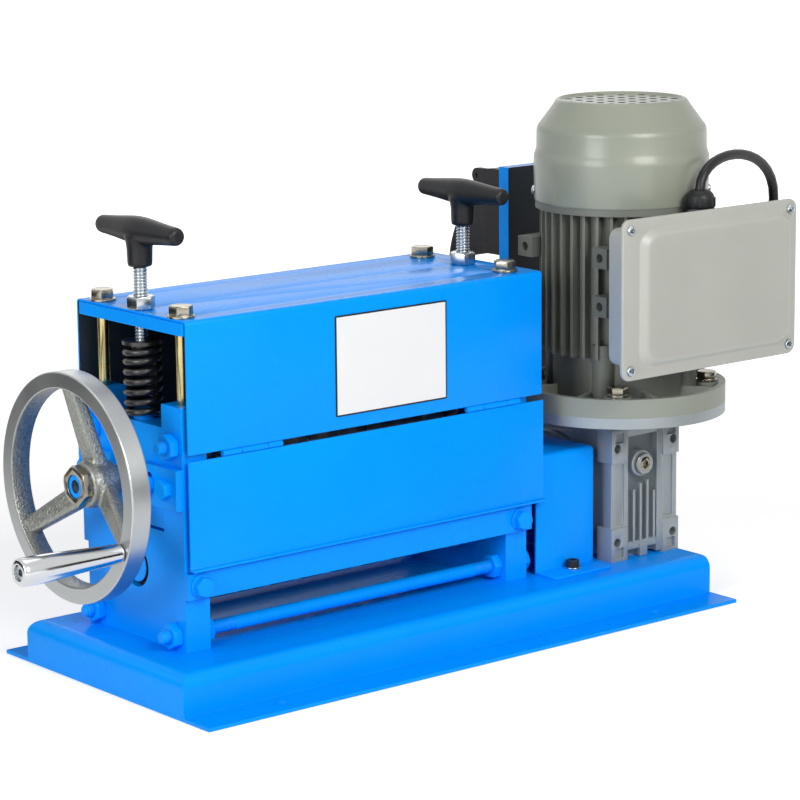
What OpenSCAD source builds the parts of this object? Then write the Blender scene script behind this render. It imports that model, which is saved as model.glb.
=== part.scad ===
// Powered wire stripping machine: a feed roller and a row of disc blades between two end plates,
// driven by an upright motor through a worm gearbox. Millimetres, +Z up, origin amid the base holes.
// The feed side is +Y, the hinged flap is on the -Y side, the handwheel is at the -X end.

/* [Base] */
// Length of the base
base_l = 586; // [570:1:640]
// Width of the raised pan
pan_w = 228; // [220:1:250]
// Width of each mounting flange
flange_w = 34; // [28:1:44]
// Height of the pan
pan_h = 37; // [32:1:46]
// Thickness of the base sheet
sheet = 3; // [2.5:0.5:4]
// Bend radius along the top edges of the pan
bend_r = 12; // [8:1:16]
// Bend radius along the top edge at the motor end
end_bend_r = 3.2; // [3.1:0.1:3.4]
// Diameter of the mounting holes
mount_hole_d = 9; // [7:0.5:12]
// Spacing of the mounting holes along the base
mount_span = 416; // [380:2:460]

/* [Stand] */
// Length of the stand over both end plates
stand_l = 368; // [362:1:376]
// Middle of the stand along the base
stand_mid_x = -68; // [-72:1:-66]
// How far the shafts stand behind the middle of the base
stand_y = 8; // [4:1:12]
// Thickness of an end plate
plate_t = 24; // [22:1:26]
// Width of an end plate
plate_w = 140; // [136:1:144]
// Height of an end plate
upright_h = 203; // [200:1:208]
// Width of each upright beside the slot
upright_w = 28; // [26:1:30]
// Height of the slot's sill above the pan
sill_h = 97; // [94:1:98]
// Diameter of a tie rod
tie_d = 12; // [10:1:14]
// Height of the lower tie rods above the pan
tie_low_h = 13; // [13:1:15]
// Depth of the upper tie rods below the top of the end plates
tie_drop = 33; // [31:1:35]
// How far a tie rod stands out past its outer nut
tie_end = 8; // [5:1:12]

/* [Shafts] */
// Height of the feed roller's axis above the pan
roller_h = 61; // [60:0.5:63]
// Distance from the roller's axis up to the blade shaft
shaft_gap = 75; // [74.5:0.1:75.5]
// Diameter of the feed roller
roller_d = 79; // [76:0.5:79]
// Diameter of the roller shaft
roller_shaft_d = 28; // [26:1:30]
// Diameter of the blade shaft
blade_shaft_d = 25; // [22:1:27]
// Diameter of a disc blade
blade_d = 68; // [64:0.5:69]
// Thickness of a disc blade
blade_t = 2; // [1.5:0.5:3]
// Diameter of the spacers between the blades
spacer_d = 40; // [34:1:44]
// Number of wire channels
channels = 8; // [6:1:8]
// Spacing of the wire channels
channel_pitch = 32; // [30:0.5:33]
// Diameter of the largest wire
wire_max = 25; // [20:1:26]
// How much smaller each next channel is
wire_step = 2.6; // [2:0.1:2.8]
// Outside diameter of the roller bushes
low_bush_d = 36; // [34:1:40]
// Outside diameter of the blade shaft bushes
high_bush_d = 38; // [34:1:42]
// How deep the roller bush sits in the left end plate
bush_recess = 6; // [4:0.5:8]

/* [Timing gears] */
// Module of the timing gears
gear_module = 5; // [4.9:0.05:5.1]
// Teeth on each timing gear
gear_teeth = 14; // [14:1:14]
// Width of a timing gear
gear_w = 16; // [12:1:18]

/* [Blade loading] */
// Diameter of the loading screws
screw_d = 12; // [10:1:12]
// Height of a bearing block
block_h = 84; // [82:1:86]
// Gap below a bearing block at rest
block_gap = 2.5; // [2.3:0.1:3.5]
// Length of a spring at rest
spring_l = 62; // [58:1:66]
// Outside diameter of a spring
spring_od = 33; // [31:0.5:34]
// Wire diameter of a spring
spring_wire = 6; // [5.2:0.1:6.2]
// Turns of a spring
spring_turns = 7; // [6:1:8]
// Thickness of a spring seat's rim
seat_t = 3; // [2:0.5:5]
// Thickness of a cap bar
cap_t = 10; // [8:1:12]
// Length of a cap bar
cap_l = 146; // [142:1:147]
// Height of the hood's top above the pan
hood_h = 274; // [270:1:280]
// Diameter of the cap bolts
cap_bolt_d = 10; // [8:1:12]
// Height of the T-handle's bar above the hood
handle_h = 67; // [60:1:80]
// Length of the T-handle's bar
handle_l = 114; // [100:1:130]
// Length of the T-handle's stem
stem_l = 24; // [20:1:28]

/* [Hood and flap] */
// Thickness of the hood and flap sheet
hood_sheet = 2; // [1.5:0.5:3]
// Gap from the end plates to the front panels
hood_front_gap = 4; // [4:0.5:8]
// Gap from the end plates to the back panel
hood_back_gap = 8; // [8:0.5:12]
// How far the hood reaches past the right end plate
hood_over = 13; // [8:1:16]
// Height of the hood's lower edge above the pan
hood_low_h = 165; // [162:1:168]
// Gap between the hood and the flap
flap_gap = 5.5; // [5:0.5:7]
// Height of the flap's lower edge above the pan
flap_low_h = 69; // [68.5:0.5:76]
// Length of a flap hinge
hinge_l = 60; // [50:1:70]
// Diameter of a hinge knuckle
knuckle_d = 5; // [4.5:0.1:5]

/* [Guides] */
// Height of the front guide bar
bar_h = 22; // [20:1:23]
// Thickness of the front guide bar
bar_t = 5; // [4:0.5:5.5]
// Height of the front guide bar's lower edge above the pan
bar_low_h = 45; // [43:1:46]
// Height of the feed plate
feed_plate_h = 64; // [60:1:70]
// Thickness of the feed plate
feed_plate_t = 6; // [5:0.5:7]

/* [Gearbox] */
// Middle of the gearbox along the base
gearbox_x = 248; // [246:1:254]
// Width of the gearbox along the shaft
gearbox_w = 83; // [80:1:86]
// Distance from the worm to the wheel's axis
worm_gap = 50; // [50:0.5:53]
// Distance from the worm to the gearbox front
worm_front = 34; // [32:1:38]
// Distance from the wheel's axis to the gearbox back
gearbox_back = 60; // [58:1:62]
// Spacing of the gearbox face holes across
face_hole_x = 69; // [66:1:70]
// Spacing of the gearbox face holes up
face_hole_z = 87; // [84:1:90]
// Diameter of the output shaft
output_d = 25; // [22:1:26]
// Distance from the gearbox centre up to the motor flange
input_h = 80.5; // [80:0.5:84]

/* [Motor] */
// Diameter of the motor flange
flange_d = 190; // [180:2:196]
// Thickness of the motor flange
flange_t = 17; // [14:1:18]
// Thickness of the gearbox flange
input_flange_t = 9.5; // [8:0.5:11]
// Diameter over the motor's fins
fin_d = 146; // [142:1:150]
// Diameter of the motor's wall
frame_d = 124; // [120:1:126]
// Number of fins
fins = 36; // [28:1:40]
// Height of the fins' lower ends above the motor flange
fin_low = 48; // [44:1:52]
// Length of the finned frame
frame_l = 128; // [124:1:132]
// Diameter of the fan cover
fan_cover_d = 157; // [154:1:162]
// Height of the fan cover's lower edge above the motor flange
fan_cover_low = 182; // [180:1:186]
// Height of the fan cover
fan_cover_l = 91; // [86:1:96]
// Diameter of the motor shaft
motor_shaft_d = 19; // [16:1:20]

/* [Terminal box] */
// Width of the terminal box lid
lid_w = 213; // [204:1:220]
// Height of the terminal box lid
lid_h = 140; // [134:1:144]
// Distance from the motor axis to the face of the lid
lid_reach = 114; // [112:1:118]
// Height of the lid's lower edge above the motor flange
lid_low = 43; // [42:1:48]
// Depth of the box behind its lid
box_depth = 25; // [22:1:26]

/* [Switch] */
// Left edge of the switch bracket
bracket_x = 219; // [216:1:222]
// Width of the switch bracket
bracket_w = 86; // [84:1:90]
// Depth of the bracket's side flanges
bracket_flange = 13; // [10:1:16]
// Height of the bracket above the pan
bracket_h = 343; // [338:1:348]
// Depth of the switch body
switch_depth = 50; // [48:1:54]
// Height of the switch body
switch_h = 80; // [78:1:84]

/* [Handwheel] */
// Diameter of the handwheel
wheel_d = 190; // [180:1:196]
// Width of the handwheel's rim
rim_w = 18; // [14:1:20]
// Thickness of the handwheel's rim
rim_t = 14; // [12:1:16]
// Distance from the left end plate to the back of the rim
rim_out = 48; // [46:1:54]
// Length of the crank grip
grip_l = 95; // [80:1:100]
// Diameter of the crank grip at its free end
grip_d = 23; // [20:1:26]

/* [Fits] */
// Radial gap of a shaft in its bush
run_fit = 0.05; // [0.03:0.01:0.1]
// Gap of a fixed piece in its seat
seat_fit = 0.02; // [0.01:0.01:0.05]
// Gap on each side of a sliding block
slide_fit = 0.1; // [0.05:0.05:0.2]
// Gap between pieces that pass each other
clear = 0.3; // [0.3:0.1:0.6]

/* [Hidden] */
$fn = 48;
BLUE = "#0a90ee";
STEEL = "#b8bcc0";
GOLD = "#c9a44a";
BLACK = "#1c1c1e";
ALLOY = "#a9adb0";
GREY = "#a8aca0";

// Heights
z_roller = pan_h + roller_h;
z_blade = z_roller + shaft_gap;
z_top = pan_h + upright_h;
z_sill = pan_h + sill_h;
z_hood = pan_h + hood_h;
z_cap = z_hood - hood_sheet - cap_t;
z_block = z_sill + block_gap;
z_spring = z_block + block_h;
z_seat = z_spring + spring_l;
z_hood_low = pan_h + hood_low_h;
z_flap_top = z_hood_low - flap_gap;
z_flap_low = pan_h + flap_low_h;
z_hinge = z_hood_low - flap_gap / 2;
z_input = z_roller + input_h;
z_handle = z_hood + handle_h;

// Places along the machine
xl = stand_mid_x - stand_l / 2;
xr = stand_mid_x + stand_l / 2;
x_screws = [xl + plate_t / 2, xr - plate_t / 2];
y_front = stand_y - plate_w / 2;
y_back = stand_y + plate_w / 2;
slot_w = plate_w - 2 * upright_w;
post_y = (plate_w - upright_w) / 2;
y_panel = y_front - hood_front_gap - hood_sheet;
y_hood_back = y_back + hood_back_gap + hood_sheet;
worm_y = stand_y - worm_gap;
y_gear_front = worm_y - worm_front;
y_gear_back = stand_y + gearbox_back;
bracket_y = y_gear_back + 10;

// Nuts and bolts: width across flats and height for a thread
function nut_af(d) = d * 1.6;
function nut_h(d) = d * 0.7;
bar_bolt_d = 8;
small_d = 5;
washer_t = 2;

// Straight pieces along each axis, from one end to the other
module xcyl(d, x0, x1, y, z) {
    translate([x0, y, z]) rotate([0, 90, 0]) cylinder(d = d, h = x1 - x0);
}
module ycyl(d, y0, y1, x, z) {
    translate([x, y1, z]) rotate([90, 0, 0]) cylinder(d = d, h = y1 - y0);
}
module zcyl(d, z0, z1, x, y) {
    translate([x, y, z0]) cylinder(d = d, h = z1 - z0);
}
module xhex(af, x0, x1, y, z) {
    translate([x0, y, z]) rotate([0, 90, 0]) cylinder(d = af / cos(30), h = x1 - x0, $fn = 6);
}
module yhex(af, y0, y1, x, z) {
    translate([x, y1, z]) rotate([90, 0, 0]) cylinder(d = af / cos(30), h = y1 - y0, $fn = 6);
}
module zhex(af, z0, z1, x, y) {
    translate([x, y, z0]) cylinder(d = af / cos(30), h = z1 - z0, $fn = 6);
}
module block(x0, x1, y0, y1, z0, z1) {
    translate([x0, y0, z0]) cube([x1 - x0, y1 - y0, z1 - z0]);
}
// A square with a round top corner on each side
module arch(w, h, r0, r1) {
    translate([-w / 2, 0]) square([w / 2, h - r0]);
    square([w / 2, h - r1]);
    translate([r0 - w / 2, 0]) square([w - r0 - r1, h]);
    translate([r0 - w / 2, h - r0]) circle(r0);
    translate([w / 2 - r1, h - r1]) circle(r1);
}
// A rectangle with four round corners, about its middle
module round_rect(w, h, r) {
    square([w - 2 * r, h], center = true);
    square([w, h - 2 * r], center = true);
    for (sx = [-1, 1], sy = [-1, 1]) translate([sx * (w / 2 - r), sy * (h / 2 - r)]) circle(r);
}
// A solid whose top edges are bent round, with a sharper bend at its right end
module bent_box(l, w, h, r, r_end) {
    intersection() {
        rotate([90, 0, 90]) linear_extrude(l, center = true) arch(w, h, r, r);
        rotate([90, 0, 0]) linear_extrude(w, center = true) arch(l, h, r, r_end);
    }
}

// Places of the fasteners that go up through the base
foot_y = [y_gear_front + 16, y_gear_back - 16];
plate_bolt_y = plate_w / 2 - 38;
base_bolt_d = 8;
base_bolt_up = 12;
foot_x = 31;
base_bolts_at = [
    for (x = x_screws, s = [-1, 1]) [x, stand_y + s * plate_bolt_y],
    for (s = [-1, 1], y = foot_y) [gearbox_x + s * foot_x, y]
];
cover_start = 12;
cover_clear = 7.6;
cover_back = 6;
cover_h = 108;
cover_x = [xr + cover_start, gearbox_x - gearbox_w / 2 - cover_clear];
cover_y = [y_front, y_back - cover_back];
cover_lip = 26;
cover_screw_out = 9;
cover_top = pan_h + cover_h;
cover_sheet = 2.5;
cover_screw_x = (cover_x[0] + cover_x[1]) / 2;
bracket_foot = 26;
bracket_t = 2.5;
bracket_screw_x = [bracket_x + 18, bracket_x + bracket_w - 18];
// Socket screws that hold the gear cover and the bracket on the pan
pan_screws_at = [
    [cover_screw_x, cover_y[0] - cover_screw_out, cover_sheet],
    [cover_screw_x, cover_y[1] + cover_screw_out, cover_sheet],
    for (x = bracket_screw_x) [x, bracket_y + bracket_foot - 8, bracket_t]
];

module base_pan() color(BLUE) difference() {
    union() {
        bent_box(base_l, pan_w, pan_h, bend_r, end_bend_r);
        for (s = [-1, 1]) {
            translate([-base_l / 2, s > 0 ? pan_w / 2 - sheet : -pan_w / 2 - flange_w, 0])
                cube([base_l, flange_w + sheet, sheet]);
        }
    }
    translate([0, 0, -sheet])
        bent_box(base_l - 2 * sheet, pan_w - 2 * sheet, pan_h, bend_r - sheet, end_bend_r - sheet);
    for (sx = [-1, 1], sy = [-1, 1]) {
        zcyl(mount_hole_d, -1, sheet + 1, sx * mount_span / 2, sy * (pan_w + flange_w) / 2);
    }
    for (p = base_bolts_at) zcyl(base_bolt_d + 2 * clear, pan_h - 2 * sheet, pan_h + 1, p[0], p[1]);
    for (p = pan_screws_at) zcyl(small_d + 2 * clear, pan_h - 2 * sheet, pan_h + 1, p[0], p[1]);
}
module base_bolts() color(STEEL) for (p = base_bolts_at) {
    zhex(nut_af(base_bolt_d), pan_h - sheet - nut_h(base_bolt_d), pan_h - sheet, p[0], p[1]);
    zcyl(base_bolt_d, pan_h - sheet, pan_h + base_bolt_up, p[0], p[1]);
}

// The tie rods' places on an end plate
tie_wall = 3;
z_cap_bolt = z_top - tie_drop + tie_d / 2 + tie_wall;
tie_places = [
    for (s = [-1, 1], z = [pan_h + tie_low_h, z_top - tie_drop]) [stand_y + s * post_y, z]
];
keeper_h = 34;
keeper_t = 7;
keeper_l = 48;
guide_y = slot_w / 2 - 9;
guide_travel = 10;
bar_bolt_in = 18;
z_bar_bolt = pan_h + bar_low_h + bar_h / 2;
z_feed_low = z_roller + roller_d / 2 - feed_plate_h / 2;
feed_bolt_z = [z_feed_low + 9, z_feed_low + feed_plate_h - 9];

module end_plate(x0, side) color(BLUE) difference() {
    block(x0, x0 + plate_t, y_front, y_back, pan_h, z_top);
    block(x0 - 1, x0 + plate_t + 1, stand_y - slot_w / 2, stand_y + slot_w / 2, z_sill, z_top + 1);
    xcyl(low_bush_d + 2 * seat_fit, x0 - 1, x0 + plate_t + 1, stand_y, z_roller);
    for (p = tie_places) xcyl(tie_d + 2 * clear, x0 - 1, x0 + plate_t + 1, p[0], p[1]);
    for (s = [-1, 1]) {
        zcyl(cap_bolt_d + 2 * seat_fit, z_cap_bolt - 2, z_top + 1, x0 + plate_t / 2,
            stand_y + s * post_y);
        zcyl(base_bolt_d + 2 * seat_fit, pan_h - 1, pan_h + base_bolt_up + 1, x0 + plate_t / 2,
            stand_y + s * plate_bolt_y);
        xcyl(bar_bolt_d + 2 * seat_fit, side < 0 ? x0 - 1 : x0 + plate_t - 13,
            side < 0 ? x0 + 13 : x0 + plate_t + 1, stand_y + s * post_y, z_blade);
    }
    ycyl(bar_bolt_d + 2 * seat_fit, y_front - 1, y_front + bar_bolt_in, x0 + plate_t / 2, z_bar_bolt);
    for (z = feed_bolt_z)
        ycyl(bar_bolt_d + 2 * seat_fit, y_back - bar_bolt_in, y_back + 1, x0 + plate_t / 2, z);
}
module left_end_plate() end_plate(xl, -1);
module right_end_plate() end_plate(xr - plate_t, 1);

tie_nut_w = nut_h(tie_d);
module tie_rods() color(BLUE) for (p = tie_places)
    xcyl(tie_d, xl - tie_nut_w - tie_end, xr + tie_nut_w + tie_end / 4, p[0], p[1]);
module tie_rod_nuts() color(BLUE) for (p = tie_places)
    for (x = [xl - tie_nut_w, xl + plate_t, xr - plate_t - tie_nut_w, xr]) difference() {
        xhex(nut_af(tie_d), x, x + tie_nut_w, p[0], p[1]);
        xcyl(tie_d + 2 * seat_fit, x - 1, x + tie_nut_w + 1, p[0], p[1]);
    }

// Each keeper is fixed to an upright and has a tall slot for the block's guide bolt
module keeper_plates() color(BLUE) for (side = [-1, 1], s = [-1, 1]) {
    x0 = side < 0 ? xl - keeper_t : xr;
    y_out = stand_y + s * plate_w / 2;
    y_in = y_out - s * keeper_l;
    difference() {
        block(x0, x0 + keeper_t, min(y_out, y_in), max(y_out, y_in), z_blade - keeper_h / 2,
            z_blade + keeper_h / 2);
        xcyl(bar_bolt_d + 2 * clear, x0 - 1, x0 + keeper_t + 1, stand_y + s * post_y, z_blade);
        for (k = [-1, 1]) xcyl(bar_bolt_d + 2 * clear, x0 - 1, x0 + keeper_t + 1, stand_y + s * guide_y,
            z_blade + 1 + k * guide_travel / 2);
        block(x0 - 1, x0 + keeper_t + 1, stand_y + s * guide_y - bar_bolt_d / 2 - clear,
            stand_y + s * guide_y + bar_bolt_d / 2 + clear, z_blade + 1 - guide_travel / 2,
            z_blade + 1 + guide_travel / 2);
    }
}
bar_head = nut_h(bar_bolt_d);
module x_bolt(x_face, dir, grip, y, z) {
    x_head = dir < 0 ? x_face - bar_head : x_face;
    xhex(nut_af(bar_bolt_d), x_head, x_head + bar_head, y, z);
    xcyl(bar_bolt_d, dir < 0 ? x_face : x_face - grip, dir < 0 ? x_face + grip : x_face, y, z);
}
module frame_bolts() color(BLUE) {
    for (s = [-1, 1]) {
        x_bolt(xl - keeper_t, -1, keeper_t + 12, stand_y + s * post_y, z_blade);
        x_bolt(xr + keeper_t, 1, keeper_t + 12, stand_y + s * post_y, z_blade);
    }
    for (x = x_screws) {
        yhex(nut_af(bar_bolt_d), y_front - bar_t - bar_head, y_front - bar_t, x, z_bar_bolt);
        ycyl(bar_bolt_d, y_front - bar_t, y_front + bar_bolt_in - 1, x, z_bar_bolt);
        for (z = feed_bolt_z) {
            yhex(nut_af(bar_bolt_d), y_back + feed_plate_t, y_back + feed_plate_t + bar_head, x, z);
            ycyl(bar_bolt_d, y_back - bar_bolt_in + 1, y_back + feed_plate_t, x, z);
        }
    }
}
// The guide bolts' heads clear the keepers, so that the blocks can slide
module guide_bolts() color(BLUE) for (side = [-1, 1], s = [-1, 1])
    x_bolt(side < 0 ? xl - keeper_t - clear : xr + keeper_t + clear, side, keeper_t + clear + 9,
        stand_y + s * guide_y, z_blade);

module bush(d, bore, x0, l, z) difference() {
    xcyl(d, x0, x0 + l, stand_y, z);
    xcyl(bore + 2 * run_fit, x0 - 1, x0 + l + 1, stand_y, z);
}
low_bush_l = plate_t - bush_recess;
module lower_bushes() color("#b08d57") {
    bush(low_bush_d, roller_shaft_d, xl + bush_recess, low_bush_l, z_roller);
    bush(low_bush_d, roller_shaft_d, xr - plate_t, low_bush_l, z_roller);
}

module cap_bars() color(BLUE) for (x = x_screws) difference() {
    block(x - plate_t / 2, x + plate_t / 2, stand_y - cap_l / 2, stand_y + cap_l / 2, z_cap,
        z_cap + cap_t);
    zcyl(screw_d + 2 * run_fit, z_cap - 1, z_hood + 1, x, stand_y);
    for (s = [-1, 1]) zcyl(cap_bolt_d + 2 * clear, z_cap - 1, z_hood + 1, x, stand_y + s * post_y);
}
// Long bolts that stand in the uprights and hold the cap bars down against the springs
module cap_bolts() color(GOLD) for (x = x_screws, s = [-1, 1]) {
    y = stand_y + s * post_y;
    z_head = z_hood + washer_t;
    zhex(nut_af(cap_bolt_d), z_head, z_head + nut_h(cap_bolt_d), x, y);
    zcyl(cap_bolt_d, z_cap_bolt, z_head, x, y);
    difference() {
        zcyl(cap_bolt_d * 2, z_hood, z_head, x, y);
        zcyl(cap_bolt_d + 2 * seat_fit, z_hood - 1, z_head + 1, x, y);
    }
}
lock_nut_h = screw_d * 0.8;
module lock_nuts() color(STEEL) for (x = x_screws) difference() {
    zhex(nut_af(screw_d), z_hood, z_hood + lock_nut_h, x, stand_y);
    zcyl(screw_d + 2 * run_fit, z_hood - 1, z_hood + lock_nut_h + 1, x, stand_y);
}

hood_x = [xl + 2, xr + hood_over];
module hood() color(BLUE) difference() {
    block(hood_x[0], hood_x[1], y_panel, y_hood_back, z_hood_low, z_hood);
    block(hood_x[0] - 1, hood_x[1] + 1, y_panel + hood_sheet, y_hood_back - hood_sheet, z_hood_low - 1,
        z_hood - hood_sheet);
    for (x = x_screws) {
        zcyl(screw_d + 2 * clear, z_hood_low, z_hood + 1, x, stand_y);
        for (s = [-1, 1]) zcyl(cap_bolt_d + 2 * clear, z_hood_low, z_hood + 1, x, stand_y + s * post_y);
    }
}
// Hinges: leaves behind the panels, knuckles in the gap
hinge_x = [xl + 36, xr - 73];
leaf_t = 1.2;
leaf_h = 14;
pin_d = 2.4;
y_hinge = y_panel + hood_sheet / 2;
knuckle_cut = [0, 0.31, 0.75, 1];
module hood_hinges() color(STEEL) for (x = hinge_x) {
    for (i = [0, 2]) {
        x0 = x + knuckle_cut[i] * hinge_l + (i > 0 ? clear : 0);
        x1 = x + knuckle_cut[i + 1] * hinge_l - (i > 0 ? 0 : clear);
        difference() {
            union() {
                xcyl(knuckle_d, x0, x1, y_hinge, z_hinge);
                block(x0, x1, y_panel + hood_sheet, y_panel + hood_sheet + leaf_t, z_hinge,
                    z_hood_low + leaf_h);
            }
            xcyl(pin_d + 2 * seat_fit, x0 - 1, x1 + 1, y_hinge, z_hinge);
        }
    }
    xcyl(pin_d, x, x + hinge_l, y_hinge, z_hinge);
}
module flap_hinges() color(STEEL) for (x = hinge_x) {
    x0 = x + knuckle_cut[1] * hinge_l + clear;
    x1 = x + knuckle_cut[2] * hinge_l - clear;
    difference() {
        union() {
            xcyl(knuckle_d, x0, x1, y_hinge, z_hinge);
            block(x0, x1, y_panel + hood_sheet, y_panel + hood_sheet + leaf_t, z_flap_top - leaf_h,
                z_hinge);
        }
        xcyl(pin_d + 2 * run_fit, x0 - 1, x1 + 1, y_hinge, z_hinge);
    }
}
flap_lip = 5;
flap_x = [hood_x[0], hood_x[1] + 2];
module flap() color(BLUE) union() {
    block(flap_x[0], flap_x[1], y_panel, y_panel + hood_sheet, z_flap_low, z_flap_top);
    block(flap_x[0], flap_x[1], y_panel - flap_lip, y_panel + hood_sheet, z_flap_low,
        z_flap_low + hood_sheet);
}
module front_bar() color(BLUE) difference() {
    block(xl, xr + 2, y_front - bar_t, y_front, pan_h + bar_low_h, pan_h + bar_low_h + bar_h);
    for (x = x_screws) ycyl(bar_bolt_d + 2 * clear, y_front - bar_t - 1, y_front + 1, x, z_bar_bolt);
}

// Wire channels, largest at the gear end
gear_x = xr - plate_t - gear_w - 10;
roller_x = [xl + plate_t + 8, gear_x - 4];
function channel_x(i) = (roller_x[0] + roller_x[1]) / 2 + (i - (channels - 1) / 2) * channel_pitch;
function wire_d(i) = wire_max - (channels - 1 - i) * wire_step;
z_nip = z_roller + roller_d / 2;
module feed_plate() color(BLUE) difference() {
    block(xl, xr, y_back, y_back + feed_plate_t, z_feed_low, z_feed_low + feed_plate_h);
    for (i = [0 : channels - 1])
        ycyl(wire_d(i) + 2, y_back - 1, y_back + feed_plate_t + 1, channel_x(i), z_nip);
    for (x = x_screws, z = feed_bolt_z)
        ycyl(bar_bolt_d + 2 * clear, y_back - 1, y_back + feed_plate_t + 1, x, z);
}

// Rotating pieces
shaft_end = xl + 1;
gearbox_x0 = gearbox_x - gearbox_w / 2;
gearbox_x1 = gearbox_x + gearbox_w / 2;
module feed_roller() color(STEEL) difference() {
    union() {
        xcyl(roller_shaft_d, shaft_end, gearbox_x0 - 5, stand_y, z_roller);
        xcyl(output_d, gearbox_x0 - 5, gearbox_x1 + 4, stand_y, z_roller);
        xcyl(roller_d, roller_x[0], roller_x[1], stand_y, z_roller);
    }
    for (i = [0 : channels - 1])
        translate([channel_x(i), stand_y, z_roller]) rotate([0, 90, 0])
            rotate_extrude() translate([roller_d / 2, 0]) circle(d = wire_d(i));
    xcyl(8, shaft_end - 1, shaft_end + 5, stand_y, z_roller);
}
function tooth_points(teeth, root, mid, tip) = [
    for (i = [0 : teeth - 1], k = [[-0.3, 0], [-0.23, 1], [-0.11, 2], [0.11, 2], [0.23, 1], [0.3, 0]])
        let (a = (i + k[0]) * 360 / teeth, r = [root, mid, tip][k[1]]) [r * cos(a), r * sin(a)]
];
module toothed_wheel(teeth, root, mid, tip, w, x0, z, turn) {
    translate([x0, stand_y, z]) rotate([90, 0, 90]) linear_extrude(w) rotate(turn)
        polygon(tooth_points(teeth, root, mid, tip));
}
gear_mid = gear_module * gear_teeth / 2;
gear_root = gear_mid - 1.25 * gear_module;
gear_tip = gear_mid + gear_module;
gear_hub_d = 46;
module timing_gear(z, bore, turn) color(STEEL) difference() {
    union() {
        toothed_wheel(gear_teeth, gear_root, gear_mid, gear_tip, gear_w, gear_x, z, turn);
        xcyl(gear_hub_d, gear_x, xr - plate_t - 1, stand_y, z);
    }
    xcyl(bore + 2 * seat_fit, gear_x - 1, xr - plate_t + 1, stand_y, z);
}
module roller_gear() timing_gear(z_roller, roller_shaft_d, 90);
module blade_gear() timing_gear(z_blade, blade_shaft_d, 90 + 180 / gear_teeth);

// Blade shaft, from the threaded wheel end to the right bearing block
rim_x = [xl - rim_out - rim_w, xl - rim_out];
hub_dish = 7;
hub_in = 25;
hub_x = [rim_x[0] + rim_w / 2 + hub_dish, rim_x[1] + hub_in];
wheel_seat_d = 20;
wheel_nut_t = 8;
shaft_set_back = 2;
module blade_shaft() color(STEEL) {
    xcyl(wheel_seat_d, hub_x[0] - wheel_nut_t + shaft_set_back, hub_x[1], stand_y, z_blade);
    xcyl(blade_shaft_d, hub_x[1], xr + 1, stand_y, z_blade);
    xcyl(blade_shaft_d + 9, xl + plate_t + 1, roller_x[0], stand_y, z_blade);
}
module cutting_blades() color("#d0d4d8") for (i = [0 : channels - 1])
    translate([channel_x(i), stand_y, z_blade]) rotate([0, 90, 0]) rotate_extrude()
        polygon([
            [blade_shaft_d / 2 + seat_fit, -blade_t / 2],
            [blade_d / 2 - 5, -blade_t / 2],
            [blade_d / 2, -blade_t / 10],
            [blade_d / 2, blade_t / 10],
            [blade_d / 2 - 5, blade_t / 2],
            [blade_shaft_d / 2 + seat_fit, blade_t / 2]
        ]);
module blade_spacers() color(STEEL) for (i = [0 : channels]) difference() {
    x0 = i == 0 ? roller_x[0] : channel_x(i - 1) + blade_t / 2;
    x1 = i == channels ? gear_x : channel_x(i) - blade_t / 2;
    xcyl(spacer_d, x0, x1, stand_y, z_blade);
    xcyl(blade_shaft_d + 2 * seat_fit, x0 - 1, x1 + 1, stand_y, z_blade);
}

// Handwheel with three spokes, and its revolving crank grip
spoke_turn = 207;
spokes = 3;
wheel_r = wheel_d / 2;
crank_r = wheel_r - rim_t / 2 - 2;
crank_y = stand_y + crank_r * cos(spoke_turn);
crank_z = z_blade + crank_r * sin(spoke_turn);
crank_bolt_d = 8;
crank_boss_d = 17;
wheel_nut_af = 30;
hub_d = 40;
spoke_in = hub_d / 2 - 6;
spoke_out = wheel_r - rim_t + 2;
dish_turn = atan(hub_dish / (spoke_out - spoke_in));
spoke_root = 13;
spoke_tip = 8;
module handwheel() color(STEEL) difference() {
    union() {
        translate([rim_x[0], stand_y, z_blade]) rotate([90, 0, 90]) {
            linear_extrude(rim_w) difference() {
                circle(wheel_r, $fn = 96);
                circle(wheel_r - rim_t, $fn = 96);
            }
            for (i = [0 : spokes - 1]) rotate(spoke_turn + i * 360 / spokes) {
                translate([spoke_out, 0, rim_w / 2 + 1]) rotate([0, dish_turn, 0])
                    linear_extrude(rim_w / 2 - 2) polygon([
                        [spoke_in - spoke_out, -spoke_root], [0, -spoke_tip], [0, spoke_tip],
                        [spoke_in - spoke_out, spoke_root]
                    ]);
            }
        }
        xcyl(hub_d, hub_x[0], hub_x[1], stand_y, z_blade);
        xcyl(crank_boss_d, rim_x[0] + 1, rim_x[1] + 1, crank_y, crank_z);
    }
    xcyl(wheel_seat_d + 2 * seat_fit, rim_x[0] - 1, hub_x[1] + 1, stand_y, z_blade);
    xcyl(crank_bolt_d + 2 * seat_fit, rim_x[0] - 1, rim_x[1] + 1, crank_y, crank_z);
}
grip_x = [rim_x[0] - clear - grip_l, rim_x[0] - clear];
module wheel_fasteners() color(STEEL) {
    difference() {
        xhex(wheel_nut_af, hub_x[0] - wheel_nut_t, hub_x[0], stand_y, z_blade);
        xcyl(wheel_seat_d + 2 * seat_fit, hub_x[0] - wheel_nut_t - 1, hub_x[0] + 1, stand_y, z_blade);
    }
    difference() {
        union() {
            xcyl(crank_bolt_d, grip_x[0] + 10, rim_x[1] + 2, crank_y, crank_z);
            xcyl(13, grip_x[0] + 2, grip_x[0] + 10, crank_y, crank_z);
        }
        xhex(6, grip_x[0] + 1, grip_x[0] + 6, crank_y, crank_z);
    }
}
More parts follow.
